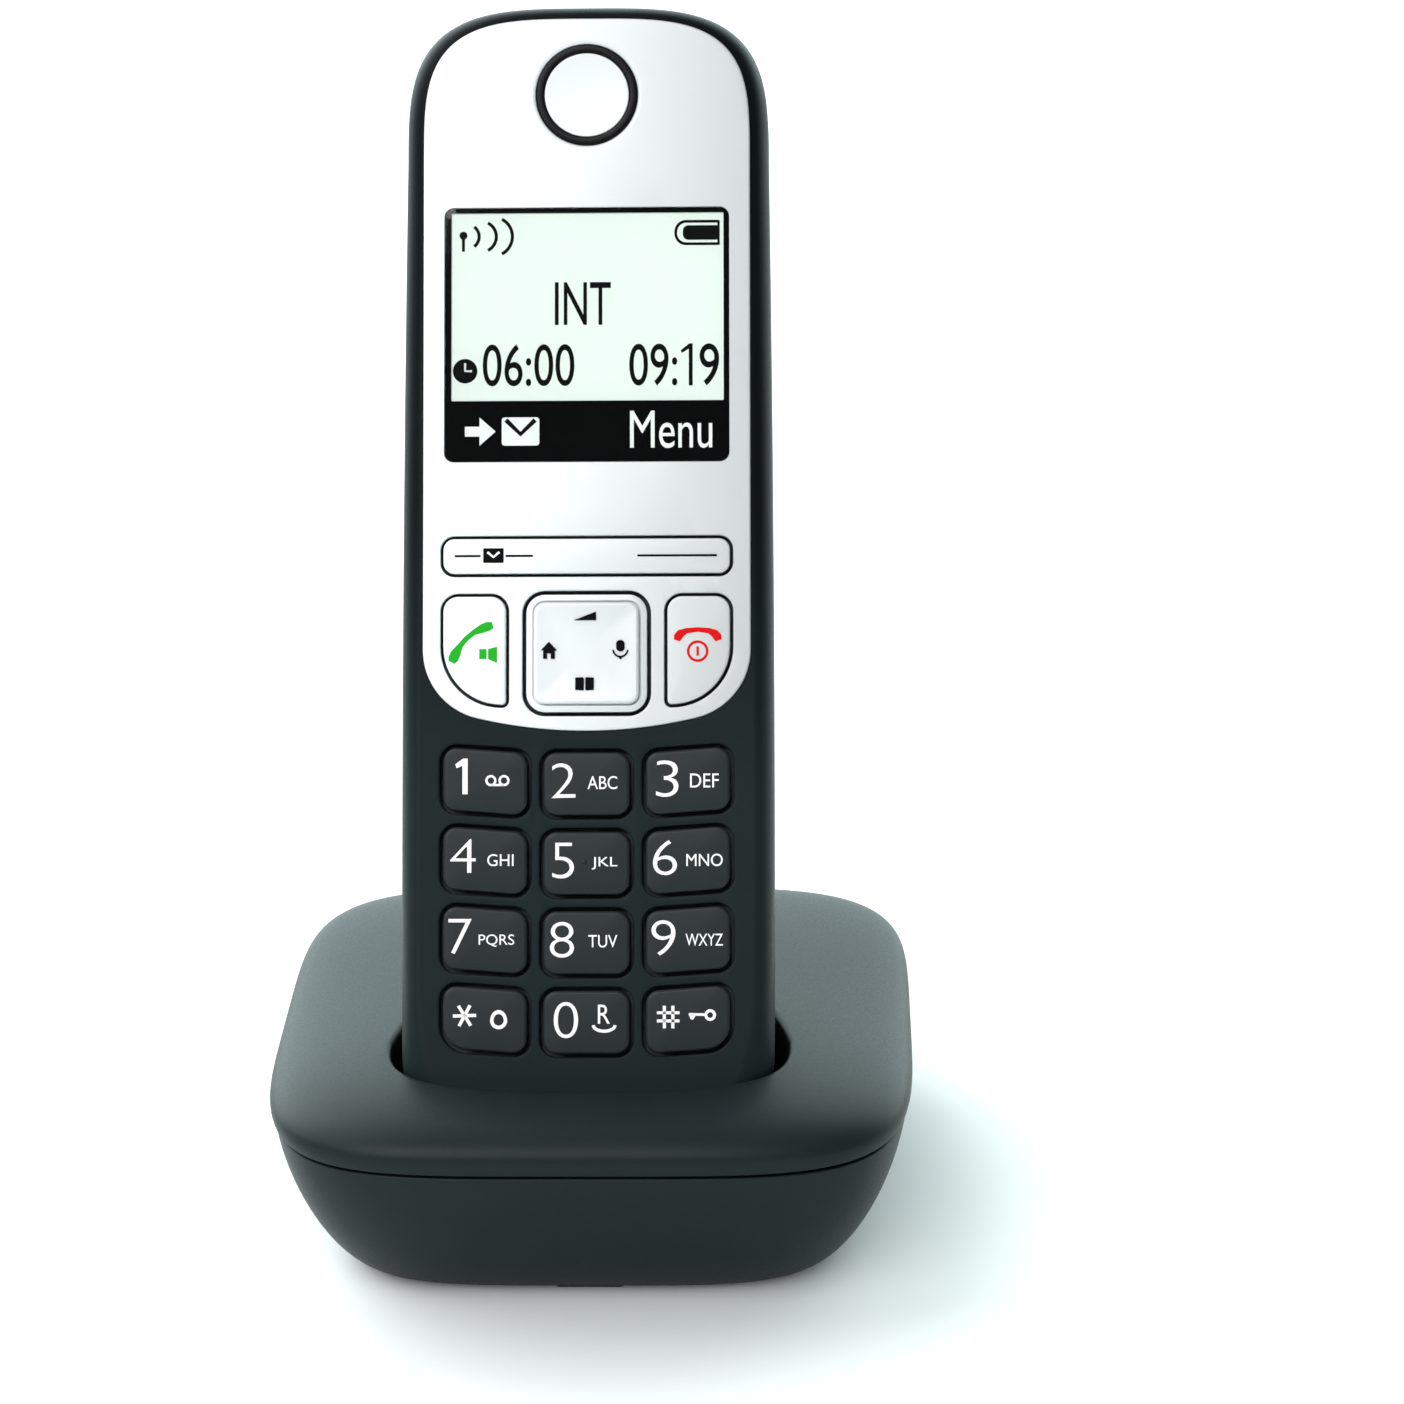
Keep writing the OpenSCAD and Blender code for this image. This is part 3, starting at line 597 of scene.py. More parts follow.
def add(tree, kind, values=None, **settings):
    """A new node with its settings and the values of its open sockets."""
    node = tree.nodes.new(kind)
    for key, value in settings.items():
        setattr(node, key, value)
    return fill(node, values or {})


def wire(tree, *links):
    """Makes links, each given as a node and its output, then a node and its input."""
    for source, output, target, entry in links:
        tree.links.new(source.outputs[output], target.inputs[entry])


def textured(name, dark, light, rough, rough_spread=0.05, grain=0.12, grain_size=0.35,
             metallic=0.0, specular=0.5, coat=0.0, blotch=9.0):
    """A moulded or painted surface: fine grain in its bump, slow variation in colour and gloss."""
    material, tree = shader(name)
    surface = fill(tree.nodes["Principled BSDF"], {
        "Metallic": metallic, "Specular IOR Level": specular, "Coat Weight": coat,
        "Coat Roughness": 0.12,
    })
    place = add(tree, "ShaderNodeTexCoord")
    slow = add(tree, "ShaderNodeTexNoise", {"Scale": 1 / (blotch * MM), "Detail": 4})
    fine = add(tree, "ShaderNodeTexNoise", {"Scale": 1 / (grain_size * MM), "Detail": 3})
    blend = add(tree, "ShaderNodeMath", {1: 0.5, 2: 0.25}, operation="MULTIPLY_ADD")
    colours = add(tree, "ShaderNodeMix", {6: (*dark, 1), 7: (*light, 1)}, data_type="RGBA")
    gloss = add(tree, "ShaderNodeMapRange", {
        "From Min": 0.3, "From Max": 0.7, "To Min": rough - rough_spread, "To Max": rough + rough_spread,
    })
    relief = add(tree, "ShaderNodeBump", {"Strength": grain, "Distance": BUMP_DEPTH * MM})
    wire(
        tree,
        (place, "Object", slow, "Vector"),
        (place, "Object", fine, "Vector"),
        (slow, "Fac", blend, 0),
        (blend, 0, colours, 0),
        (colours, 2, surface, "Base Color"),
        (fine, "Fac", gloss, "Value"),
        (gloss, "Result", surface, "Roughness"),
        (fine, "Fac", relief, "Height"),
        (relief, "Normal", surface, "Normal"),
    )
    return material


def painted_shade_ramp(material, axis, start, end, first, last):
    """Painted light and shade: scales the base colour slowly along X or Z, standing in for how light falls
    across the surface.
    """
    tree = material.node_tree
    surface = tree.nodes["Principled BSDF"]
    colour = surface.inputs["Base Color"].links[0].from_socket
    place = add(tree, "ShaderNodeTexCoord")
    parts = add(tree, "ShaderNodeSeparateXYZ")
    level = add(tree, "ShaderNodeMapRange", {
        "From Min": start * MM, "From Max": end * MM, "To Min": first, "To Max": last,
    })
    toned = add(tree, "ShaderNodeVectorMath", operation="SCALE")
    tree.links.new(colour, toned.inputs[0])
    wire(
        tree,
        (place, "Object", parts, 0),
        (parts, axis, level, "Value"),
        (level, "Result", toned, "Scale"),
        (toned, 0, surface, "Base Color"),
    )
    return material


def painted_glow(material, colour, strength):
    """Painted light: an emission that brightens a surface of the display which is no lamp."""
    fill(material.node_tree.nodes["Principled BSDF"], {
        "Emission Color": (*colour, 1), "Emission Strength": strength,
    })
    return material


def window_material():
    """Clear hard-coated sheet: straight through, with a gloss that grows at grazing angles."""
    material, tree = shader("clear_window")
    tree.nodes.remove(tree.nodes["Principled BSDF"])
    clear = add(tree, "ShaderNodeBsdfTransparent", {"Color": (0.97, 0.985, 0.98, 1)})
    gloss = add(tree, "ShaderNodeBsdfGlossy")
    mix = add(tree, "ShaderNodeMixShader")
    share = add(tree, "ShaderNodeFresnel", {"IOR": 1.35})
    place = add(tree, "ShaderNodeTexCoord")
    noise = add(tree, "ShaderNodeTexNoise", {"Scale": 1 / (6 * MM)})
    spread = add(tree, "ShaderNodeMapRange", {"To Min": 0.03, "To Max": 0.07})
    wire(
        tree,
        (place, "Object", noise, "Vector"),
        (noise, "Fac", spread, "Value"),
        (spread, "Result", gloss, "Roughness"),
        (share, "Fac", mix, "Fac"),
        (clear, "BSDF", mix, 1),
        (gloss, "BSDF", mix, 2),
        (mix, "Shader", tree.nodes["Material Output"], "Surface"),
    )
    return material


SHELL = textured("anthracite_shell", *ANTHRACITE, 0.44, grain=0.25, grain_size=0.3, specular=0.13)
KEYS = textured("anthracite_keys", (0.014, 0.0195, 0.022), (0.0165, 0.0225, 0.025), 0.4,
                grain=0.2, grain_size=0.22, specular=0.18)
SILVER = textured("silver_paint", (0.84, 0.87, 0.885), (0.88, 0.905, 0.915), 0.4, 0.04,
                  grain=0.1, grain_size=0.12, metallic=0.08)
# Painted shade: every silver part is lighter on the left and darker on the right, standing in for light that
# falls off across the face.
painted_shade_ramp(SILVER, "X", -20, 20, 1.04, 0.57)
CASE = textured("anthracite_case", *ANTHRACITE, 0.44, grain=0.25, grain_size=0.3, specular=0.08)
# Painted shade: the case is the shell's anthracite, darkened to a quarter of its tone between 62 and 95 mm
# above the floor, standing in for the shade on the handset's upper sides and rim.
painted_shade_ramp(CASE, "Z", 62, 95, 1.0, 0.25)
GLOSS_BLACK = textured("gloss_black", (0.0025, 0.0025, 0.003), (0.0045, 0.0045, 0.005), 0.24, 0.03,
                       grain=0.05, specular=0.1)
MASK = textured("printed_mask", (0.001, 0.001, 0.0012), (0.002, 0.002, 0.0022), 0.5, specular=0.0)
INK = textured("display_ink", (0.002, 0.0024, 0.0026), (0.005, 0.0055, 0.006), 0.6, specular=0.02)
WHITE = textured("white_print", (0.86, 0.87, 0.87), (0.93, 0.94, 0.94), 0.5, grain=0.15)
GREEN = textured("green_print", (0.014, 0.36, 0.016), (0.022, 0.43, 0.026), 0.5, grain=0.15, specular=0.05)
RED = textured("red_print", (0.6, 0.004, 0.004), (0.7, 0.008, 0.008), 0.5, grain=0.15, specular=0.05)
BLACK_PRINT = textured("black_print", (0.003, 0.003, 0.0035), (0.006, 0.006, 0.0065), 0.5, specular=0.02)
RUBBER = textured("rubber", (0.012, 0.012, 0.013), (0.022, 0.022, 0.023), 0.75, 0.08, grain=0.5)
MAT_RUBBER = textured("silicone_mat", (0.09, 0.1, 0.11), (0.13, 0.14, 0.15), 0.6, 0.08, grain=0.3)
BLACK_PLASTIC = textured("black_plastic", (0.009, 0.009, 0.01), (0.016, 0.016, 0.017), 0.5, 0.08,
                         grain=0.3)
STEEL = textured("plated_steel", (0.5, 0.5, 0.49), (0.66, 0.66, 0.64), 0.3, 0.1, grain=0.3,
                 metallic=1.0)
GOLD = textured("gold_contact", (0.75, 0.55, 0.22), (0.88, 0.68, 0.32), 0.25, 0.08, grain=0.2,
                metallic=1.0)
BOARD = textured("solder_mask", (0.008, 0.09, 0.03), (0.02, 0.16, 0.06), 0.35, 0.08, grain=0.5,
                 grain_size=1.1, blotch=3.0)
SLEEVE = textured("cell_sleeve", (0.02, 0.16, 0.07), (0.03, 0.22, 0.1), 0.3, 0.05, coat=0.3)
LCD = textured("display_panel", (0.84, 0.9, 0.865), (0.87, 0.925, 0.89), 0.55, specular=0.1,
               blotch=14.0)
# Painted light: a faint glow that brightens the display sheet.
painted_glow(LCD, (0.9, 1, 0.94), 0.2)
# Painted light: the white signs on the dark strip glow to brighten them.
PAINTED_GLOW_PRINT = textured("print_with_painted_glow", (0.88, 0.89, 0.89), (0.93, 0.94, 0.94), 0.5, specular=0.05)
painted_glow(PAINTED_GLOW_PRINT, (1, 1, 1), 0.22)
WINDOW = window_material()

# ---- Base ----

def base_top():
    """The top shell: pocket floor and wall, lip, dome, edge, and the same again on its inner side."""
    rings = [wall_ring(-3, POCKET_FLOOR), wall_ring(-POCKET_ROUND, POCKET_FLOOR)]
    for out, up in ROUND[1:]:
        rings.append(wall_ring(-POCKET_ROUND * up, POCKET_FLOOR + POCKET_ROUND * out))
    rings += [rim_ring(LIP_ROUND * out, LIP_ROUND * up) for out, up in ROUND]
    shares = 1 - (1 - np.linspace(0, 1, 34)[1:-1]) ** 1.9
    rings += [top_ring(LIP_ROUND, share, 0) for share in shares]
    for out, up in ROUND:
        z = PARTING_Z + SHELL_ROUND * up
        rings.append(edge_ring(tucked_in(z) + SHELL_ROUND * out, z))
    rings.append(edge_ring(BASE_WALL, PARTING_Z))
    rings += [top_ring(POCKET_WALL, share, BASE_WALL) for share in shares[::-3]]
    rings += [rim_ring(POCKET_WALL, 0, BASE_WALL), wall_ring(POCKET_WALL, POCKET_FLOOR - POCKET_WALL)]
    shell = skin(
        "base_top", rings, placed([0, POCKET_MID, POCKET_FLOOR]),
        placed([0, POCKET_MID, POCKET_FLOOR - POCKET_WALL]),
    )
    slots = []
    for side in (-1, 1):
        loop = slot_loop(side * CONTACT_X, CONTACT_Y, 1.8, 2.6, 0.5)
        slots.append(skin("slot", [placed(at_height(loop, POCKET_FLOOR + z)) for z in (-3, 1)]))
    carve(shell, slots)
    return shell


def rear_opening(name, loop, y0, y1, flare_by=0.4):
    """A cutter that enters the rear of the base along its depth, from a loop in (x, z)."""
    mid = loop.mean(0)
    rings = []
    for y, grow in ((y0, 0), (y1 - 3, 0), (y1, flare_by)):
        rings.append(loop_at(mid + (loop - mid) * (1 + grow / 5), y))
    return skin(name, rings)


def base_lower():
    """The bottom shell, with its screw wells, rear openings, seats for the feet and air slits."""
    shares = np.linspace(0, 1, 26) ** 1.5
    outer = [lower_ring(share, 0) for share in shares if share < 0.97]
    step = ((0.97, 0), (0.975, 0.1), (0.976, 0.6), (1, 0.6))
    outer += [lower_ring(share, inset) for share, inset in step]
    underside = [lower_ring(0, 0) * [k, k, 1] for k in (0.9, 0.985)]
    inner = [lower_ring(share, BASE_WALL) for share in shares[::-2]]
    shell = skin("base_lower", underside + outer + inner, [0, 0, FOOT_H], [0, 0, FOOT_H + BASE_WALL])
    cutters = []
    for x, y in POST_SPOTS:
        cutters.append(turned("well", [(2.9, -1), (2.5, 0.9), (2.5, 1.5)], (x, y, 0)))
        cutters.append(turned("bore", [(1.3, 1), (1.3, 4)], (x, y, 0)))
    for side in (-1, 1):
        loop = slot_loop(side * JACK_X, JACK_Z, JACK_HALF_W, JACK_HALF_H, 0.6)
        cutters.append(rear_opening("socket_hole", loop, 33, 46))
    cutters.append(rear_opening("page_hole", circle(0, PAGE_Z, PAGE_HOLE_R), 36, 46, 0.2))
    seat_r, seat_top = FOOT_R + 0.1, FOOT_H + 0.3
    for x, y in FOOT_SPOTS:
        cutters.append(turned("seat", [(seat_r, -1), (seat_r, seat_top)], (x, y, 0)))
    x0, y0, x1, y1 = FRONT_PAD
    cutters.append(box("seat", x0 - 0.1, y0 - 0.1, -1, x1 + 0.1, y1 + 0.1, seat_top))
    for k in range(-2, 3):
        slit = slot_loop(0, k * 4, 12, 0.6, 0.59, 6)
        cutters.append(skin("slit", [at_height(slit, z) for z in (-1, 5)]))
    carve(shell, cutters)
    return shell


def pad_foot(name, loop):
    """A rubber pad with a rounded lower edge, from a plan loop."""
    mid = loop.mean(0)
    rings = []
    for z, share in ((0, 0.86), (0.06, 0.93), (0.2, 0.98), (0.35, 1), (FOOT_H + 0.28, 1)):
        rings.append(at_height(mid + (loop - mid) * share, z))
    return skin(name, rings)


finished(base_top(), "base", SHELL, ["base_top_shell"])
finished(base_lower(), "base", SHELL, ["base_bottom_shell"])
feet = joined("round_feet", [
    pad_foot("foot", circle(x, y, FOOT_R, 48)) for x, y in FOOT_SPOTS
])
finished(feet, "base", RUBBER, ["base_feet"])
front_pad = pad_foot("front_pad", rounded_box(*FRONT_PAD, 1))
finished(front_pad, "base", RUBBER, ["front_foot"])

page = turned("page_cap", [
    (4.4, 5.6), (4.4, 4.6), (3.3, 4.55), (3.3, 0.45), (3.2, 0.2), (3.0, 0.05), (2.6, 0.0),
    (2.1, 0.12), (1.2, 0.25), (0.4, 0.3),
], (0, 42.4, PAGE_Z), along="y")
finished(page, "page_button", SHELL, ["page_key"])


def contact_strip(name, mid_x):
    """A sprung strip with a rounded nose, wider at its foot."""
    r = CONTACT_REACH
    nose = [(-r * cos(a), 0.1 + r * sin(a)) for a in np.radians(range(10, 171, 10))]
    profile = [(-r, -4.95), (-r, -0.3), (-1.15, 0.25), *nose, (1.15, 0.25), (r, -0.3), (r, -4.95)]
    rings = []
    for x, share in ((-1.3, 0.9), (-1.2, 0.98), (-1, 1), (1, 1), (1.2, 0.98), (1.3, 0.9)):
        rings.append(placed([
            (mid_x + x, CONTACT_Y + y * share, (z - 0.1) * share + 0.1) for y, z in profile
        ]))
    return skin(name, rings)


for side, hand in ((-1, "left"), (1, "right")):
    strip = contact_strip("contact_strip_" + hand, side * CONTACT_X)
    finished(strip, "contact_" + hand, GOLD, ["base_contact_" + hand], 50)

# ---- Handset shells ----

KEY_OUTLINES = [key_outline(column, row) for row in range(4) for column in (-1, 0, 1)]
FACE_KEYS = [call_outline(-1), call_outline(1), soft_outline, nav_outline]
MID_Z = (BOTTOM_START + TOP_START) / 2


def front_shell():
    """The front shell: rounded edge, side walls and seam, with its recess, key wells and openings."""
    depths = [EDGE_D * (1 - cos(radians(90 * k / 16))) for k in range(17)]
    outer = [handset_ring(d, d, 0) for d in depths]
    outer += [handset_ring(y, SEAM_Y, 0) for y in (6, SEAM_Y - 0.6)]
    for out, up in ROUND:
        outer.append(handset_ring(SEAM_Y - SEAM_ROUND * up, SEAM_Y, 0, SEAM_ROUND * out))
    first = min(d for d in depths if d > 1.0)
    inner = [handset_ring(FACE_WALL, first, FACE_WALL)]
    inner += [handset_ring(d, d, FACE_WALL) for d in depths if d > FACE_WALL]
    rings = inner + [handset_ring(SEAM_Y, SEAM_Y, FACE_WALL)] + outer[::-1]
    shell = skin("front_shell", rings, [0, FACE_WALL, MID_Z], [0, 0, MID_Z])
    carve(shell, [prism("recess", plate_outline(0.08), -1, PLATE_T + 0.05)])
    cutters = [flare("well", outline, KEY_GAP, 0.3, 0.25, 5) for outline in KEY_OUTLINES]
    cutters += [prism("well", outline(KEY_GAP), -1, 6) for outline in FACE_KEYS]
    cutters.append(prism("lens", rounded_box(-17.8, WINDOW_BOTTOM + 2, 17.8, WINDOW_TOP - 1, 1), -1, 6))
    cutters.append(prism("sound", circle(0, EARPIECE_Z, 5), -1, 6))
    cutters.append(flare("microphone_hole", round_outline(0, 5.5, 0.5), 0, 0.2, 0.2, 5))
    carve(shell, cutters)
    return shell


def rear_shell():
    """The rear shell: seam and rounded back, with the lid's opening, screw wells and slots."""
    outer = []
    for out, up in ROUND:
        outer.append(handset_ring(SEAM_Y + SEAM_ROUND * out, SEAM_Y, 0, SEAM_ROUND * up))
    depths = [SEAM_Y + BACK_D * sin(radians(90 * k / 26)) for k in range(1, 27)]
    outer += [handset_ring(d, d, 0) for d in depths]
    reach = (BACK_D - HANDSET_WALL) / BACK_D
    inner = [handset_ring(SEAM_Y, SEAM_Y, HANDSET_WALL)]
    inner += [handset_ring(SEAM_Y + (d - SEAM_Y) * reach, d, HANDSET_WALL) for d in depths[1::2]]
    ends = [[0, HANDSET_T - HANDSET_WALL, MID_Z], [0, HANDSET_T, MID_Z]]
    shell = skin("rear_shell", inner[::-1] + outer, *ends)
    half = COVER_HALF_W + COVER_GAP
    edge = rounded_box(-half, COVER_BOTTOM - COVER_GAP, half, COVER_TOP + COVER_GAP, 3)
    cutters = [prism("lid_opening", edge, 17, HANDSET_T + 2)]
    for x, z in SCREW_SPOTS:
        cutters.append(prism("screw_well", circle(x, z, SCREW_WELL_R), 13, HANDSET_T + 1))
    for k in range(-3, 4):
        loop = slot_loop(0, 106 + k * 2.4, 7 - 0.28 * k * k, 0.6, 0.59, 6)
        cutters.append(prism("sound_slot", loop, 20, HANDSET_T + 1))
    for side in (-1, 1):
        x = side * CONTACT_X
        cutters.append(box("pad_hole", x - 1.75, CONTACT_Y - 2.1, -1, x + 1.75, CONTACT_Y + 2.1, 4))
    carve(shell, cutters)
    return shell


def battery_bay():
    """The open tray that holds the cells, seen when the lid is off."""
    half, low, high = BAY_HALF_W + BAY_WALL, BAY_LOW - BAY_WALL, BAY_HIGH + BAY_WALL
    outer = rounded_box(-half, low, half, high, 0.8, 4)
    inner = rounded_box(-BAY_HALF_W, BAY_LOW, BAY_HALF_W, BAY_HIGH, 0.5, 4)
    back, floor = CELL_FLOOR - BAY_WALL, CELL_FLOOR
    rings = [
        loop_at(outer, back), loop_at(outer, 23.6), loop_at(outer * [0.995, 1], 23.7),
        loop_at(inner, 23.7), loop_at(inner, floor + 0.3), loop_at(inner * [0.98, 1], floor),
    ]
    return skin("battery_bay", rings, [0, back, 53], [0, floor, 53])


def screw_tubes():
    """The tubes that guide the case screws."""
    tubes = []
    for x, z in SCREW_SPOTS:
        outer, inner, bore = (circle(x, z, r) for r in (SCREW_TUBE_R, SCREW_WELL_R, 1.1))
        reach = float(back_depth(np.array(abs(x) + SCREW_TUBE_R), np.array(z))) - 0.6
        if z < 20:
            reach = min(reach, 21)
        tubes.append(band("tube", [
            loop_at(outer, reach), loop_at(outer, 11.6), loop_at(bore, 11.6), loop_at(bore, 13.2),
            loop_at(inner, 13.2), loop_at(inner, reach),
        ]))
    return joined("screw_tubes", tubes)


def battery_lid():
    """The lid: a plate that follows the curved back, with rounded edges and a ribbed grip."""
    outline = box_outline(-COVER_HALF_W, COVER_BOTTOM, COVER_HALF_W, COVER_TOP, 3, 12)
    mid = outline(0).mean(0)

    def ring(loop, sink):
        return loop_at(loop, back_depth(loop[:, 0], loop[:, 1]) - sink)

    shares = (0.08, 0.25, 0.42, 0.58, 0.72, 0.84, 0.93, 0.98)
    front = outline(-COVER_ROUND)
    rings = [ring(mid + (front - mid) * share, COVER_T) for share in shares]
    rings += [ring(outline(0), COVER_T), ring(outline(0), COVER_ROUND)]
    rings += [ring(outline(-COVER_ROUND * out), COVER_ROUND * up) for out, up in ROUND[1:]]
    rings += [ring(mid + (front - mid) * share, 0) for share in shares[::-1]]
    ends = [[mid[0], HANDSET_T - sink, mid[1]] for sink in (COVER_T, 0)]
    lid = skin("battery_lid_cover", rings, *ends)
    grooves = []
    for k in range(4):
        loop = slot_loop(0, 70.35 + k * 1.8, 6 - k * 0.6, 0.35, 0.34, 5)
        grooves.append(prism("groove", loop, HANDSET_T - 0.35, HANDSET_T + 1))
    carve(lid, grooves)
    return lid


finished(front_shell(), "handset", CASE, ["handset_front_shell"])
finished(rear_shell(), "handset", CASE, ["handset_rear_shell"])
finished(battery_bay(), "handset", BLACK_PLASTIC)
finished(screw_tubes(), "handset", SHELL)
finished(battery_lid(), "battery_lid", CASE, ["battery_cover"])

# ---- Silver face ----


def face_plate():
    plate = cap("face_plate", plate_outline, 0, PLATE_T, 0.3)
    ear_hole = round_outline(0, EARPIECE_Z, EARPIECE_R + 0.04, 96)
    cutters = [flare("hole", outline, KEY_GAP, 0.15, 0.15, 3) for outline in FACE_KEYS]
    cutters.append(flare("hole", window_outline, 0.05, 0.1, 0.1, 3))
    cutters.append(flare("hole", ear_hole, 0, 0.55, 0.28, 3))
    carve(plate, cutters)
    return plate


def ear_ring():
    """The earpiece ring, a band with rounded edges."""
    outer, inner, edge = EARPIECE_R, EARPIECE_R - EARPIECE_BAND, 0.22
    profile = [(outer, PLATE_T)]
    profile += [(outer - edge * out, edge * up) for out, up in ROUND]
    profile += [(inner + edge * up, edge * out) for out, up in ROUND]
    profile += [(inner, PLATE_T)]
    return band("ear_ring", [loop_at(circle(0, EARPIECE_Z, r, 128), d) for r, d in profile])


finished(face_plate(), "handset", SILVER, ["faceplate"], 28)
finished(ear_ring(), "handset", GLOSS_BLACK, ["earpiece_ring"])
disc_outline = round_outline(0, EARPIECE_Z, EARPIECE_R - EARPIECE_BAND - 0.05, 96)
disc = cap("ear_disc", disc_outline, -0.12, PLATE_T, 0.12, dish=0.2)
finished(disc, "handset", SILVER, ["earpiece_disc"])

soft = cap("soft_bar", soft_outline, SILVER_PROUD, CAP_BOTTOM + 0.3, 0.22, crown=0.05, slack=0.08)
finished(soft, "soft_keys", SILVER, ["soft_key_bar"])
for side, body in ((-1, "talk"), (1, "end")):
    call = cap(body + "_cap", call_outline(side), SILVER_PROUD, CAP_BOTTOM, 0.25, crown=0.08, slack=0.08)
    finished(call, body, SILVER, [body + "_key"])


def nav_pad():
    """A square rocker: a low outer band, a step, and a raised inner square with a shallow dish."""
    mid = nav_outline(0).mean(0)
    steps = [(-0.18, 0.15), (-0.2, 0.0), (-0.34, -0.08), (-0.92, -0.1), (-1.0, -0.02), (-1.02, 0.3),
             (-1.2, 0.3)]
    rings = [loop_at(nav_outline(-0.18), CAP_BOTTOM + 0.3)]
    rings += [loop_at(nav_outline(g), d) for g, d in steps]
    rings += [loop_at(nav_outline(-1.22 - 0.38 * out), -0.7 + 0.45 * up) for out, up in ROUND]
    front = nav_outline(-1.6)
    for share in (0.97, 0.9, 0.78, 0.62, 0.45, 0.28, 0.12):
        rings.append(loop_at(mid + (front - mid) * share, -0.7 + 0.28 * (1 - share ** 3)))
    return skin("nav_rocker", rings, [mid[0], CAP_BOTTOM + 0.3, mid[1]], [mid[0], -0.42, mid[1]])


finished(nav_pad(), "nav_pad", SILVER, ["nav_key"])

# ---- Number keys ----

KEY_NAMES = ["1", "2", "3", "4", "5", "6", "7", "8", "9", "star", "0", "hash"]
for name, outline in zip(KEY_NAMES, KEY_OUTLINES):
    key = cap("cap_" + name, outline, KEY_PROUD, CAP_BOTTOM, 0.4, crown=KEY_CROWN, slack=0.12)
    finished(key, "button_" + name, KEYS, ["key_" + name])

# ---- Flat prints ----


def laid(curve, depths, spot=None):
    """A filled curve as a mesh in the face between two depths, stretched to fill a spot if one is given."""
    source = new_object("outline", curve)
    graph = bpy.context.evaluated_depsgraph_get()
    mesh = bpy.data.meshes.new_from_object(source.evaluated_get(graph))
    bpy.data.objects.remove(source)
    co = np.array([v.co for v in mesh.vertices], float)
    xz = co[:, :2]
    if spot:
        x0, x1, z0, z1 = spot
        low, high = xz.min(0), xz.max(0)
        xz = (xz - low) / (high - low) * [x1 - x0, z1 - z0] + [x0, z0]
    points = np.stack([xz[:, 0], np.where(co[:, 2] > 0, *depths), xz[:, 1] + SUNK], 1)
    mesh.vertices.foreach_set("co", points.ravel().astype(np.float32))
    mesh.update()
    clean(mesh, 1e-3)
    return new_object("print", mesh)


def flat(depths, *loops):
    """A thin closed shape from loops of (x, height above the lip); inner loops are holes."""
    curve = bpy.data.curves.new("outline", "CURVE")
    curve.dimensions = "2D"
    curve.fill_mode = "BOTH"
    curve.extrude = (depths[1] - depths[0]) / 2
    for loop in loops:
        spline = curve.splines.new("POLY")
        spline.points.add(len(loop) - 1)
        spline.points.foreach_set("co", np.array([(x, z, 0, 1) for x, z in loop]).ravel())
        spline.use_cyclic_u = True
    return laid(curve, depths)


def word(depths, text, spot, weight=0.0):
    """A line of text that fills a spot (x0, x1, z0, z1) of the face exactly."""
    curve = bpy.data.curves.new("word", "FONT")
    curve.body = text
    curve.size = 10
    curve.resolution_u = 6
    curve.offset = weight
    curve.extrude = 0.05
    return laid(curve, depths, spot)


def stroke(points, width):
    """The outline of a line through points, of an even width or a width for each, with square ends."""
    p = np.array(points, float)
    along = np.gradient(p, axis=0)
    along /= np.linalg.norm(along, axis=1)[:, None]
    side = np.stack([-along[:, 1], along[:, 0]], 1)
    off = side * np.broadcast_to(width, len(p))[:, None] / 2
    return np.concatenate([p + off, (p - off)[::-1]])


def arc(x, z, r, a0, a1, steps=20):
    t = np.radians(np.linspace(a0, a1, steps + 1))
    return np.stack([x + r * np.cos(t), z + r * np.sin(t)], 1)


def hoop(x, z, r, width):
    return circle(x, z, r, 40), circle(x, z, r - width, 40)


def one(x0, x1, z0, z1, width):
    """A figure one with a slanting flag."""
    flag = z1 - (z1 - z0) * 0.16
    return [
        (x1, z0), (x1, z1), (x1 - width * 0.85, z1), (x0, flag), (x0 + width * 0.25, flag - width * 0.75),
        (x1 - width, z1 - width * 1.35), (x1 - width, z0),
    ]


def printed(name, prints, body, material):
    finished(joined(name, prints), body, material)


# ---- Legends of the number keys, on their crowned fronts ----

KEY_FACE = -KEY_PROUD - KEY_CROWN * 0.6
LEGEND = (KEY_FACE - 0.05, KEY_FACE + 0.06)
THIN = -0.14

# Each figure with its spot, and the letters beside it with theirs.
FIGURES = [
    ("2", (-4.5, -1.4, 37.95, 42.45), "ABC", (0.15, 4.0, 39.1, 40.8)),
    ("3", (9.0, 11.9, 38.1, 42.8), "DEF", (13.4, 17.1, 39.3, 41.1)),
    ("4", (-17.6, -14.3, 28.35, 32.7), "GHI", (-12.8, -9.4, 29.2, 30.75)),
    ("5", (-4.4, -1.6, 27.6, 32.2), "JKL", (0.7, 4.0, 28.75, 30.35)),
    ("6", (8.6, 11.7, 28.0, 32.5), "MNO", (12.9, 17.6, 29.15, 30.75)),
    ("7", (-17.8, -14.8, 17.9, 22.4), "PQRS", (-13.9, -9.3, 18.8, 20.4)),
    ("8", (-4.7, -1.6, 17.4, 22.0), "TUV", (0.25, 4.0, 18.7, 20.3)),
    ("9", (8.4, 11.5, 17.65, 22.2), "WXYZ", (12.8, 17.6, 18.9, 20.45)),
    ("0", (-4.2, -1.05, 7.05, 11.7), "R", (1.5, 3.05, 8.9, 11.35)),
]


def tape_sign():
    return [hoop(-12.35, 40.25, 0.72, 0.3), hoop(-10.65, 40.25, 0.72, 0.3),
            [stroke([(-12.35, 39.68), (-10.65, 39.68)], 0.3)]]


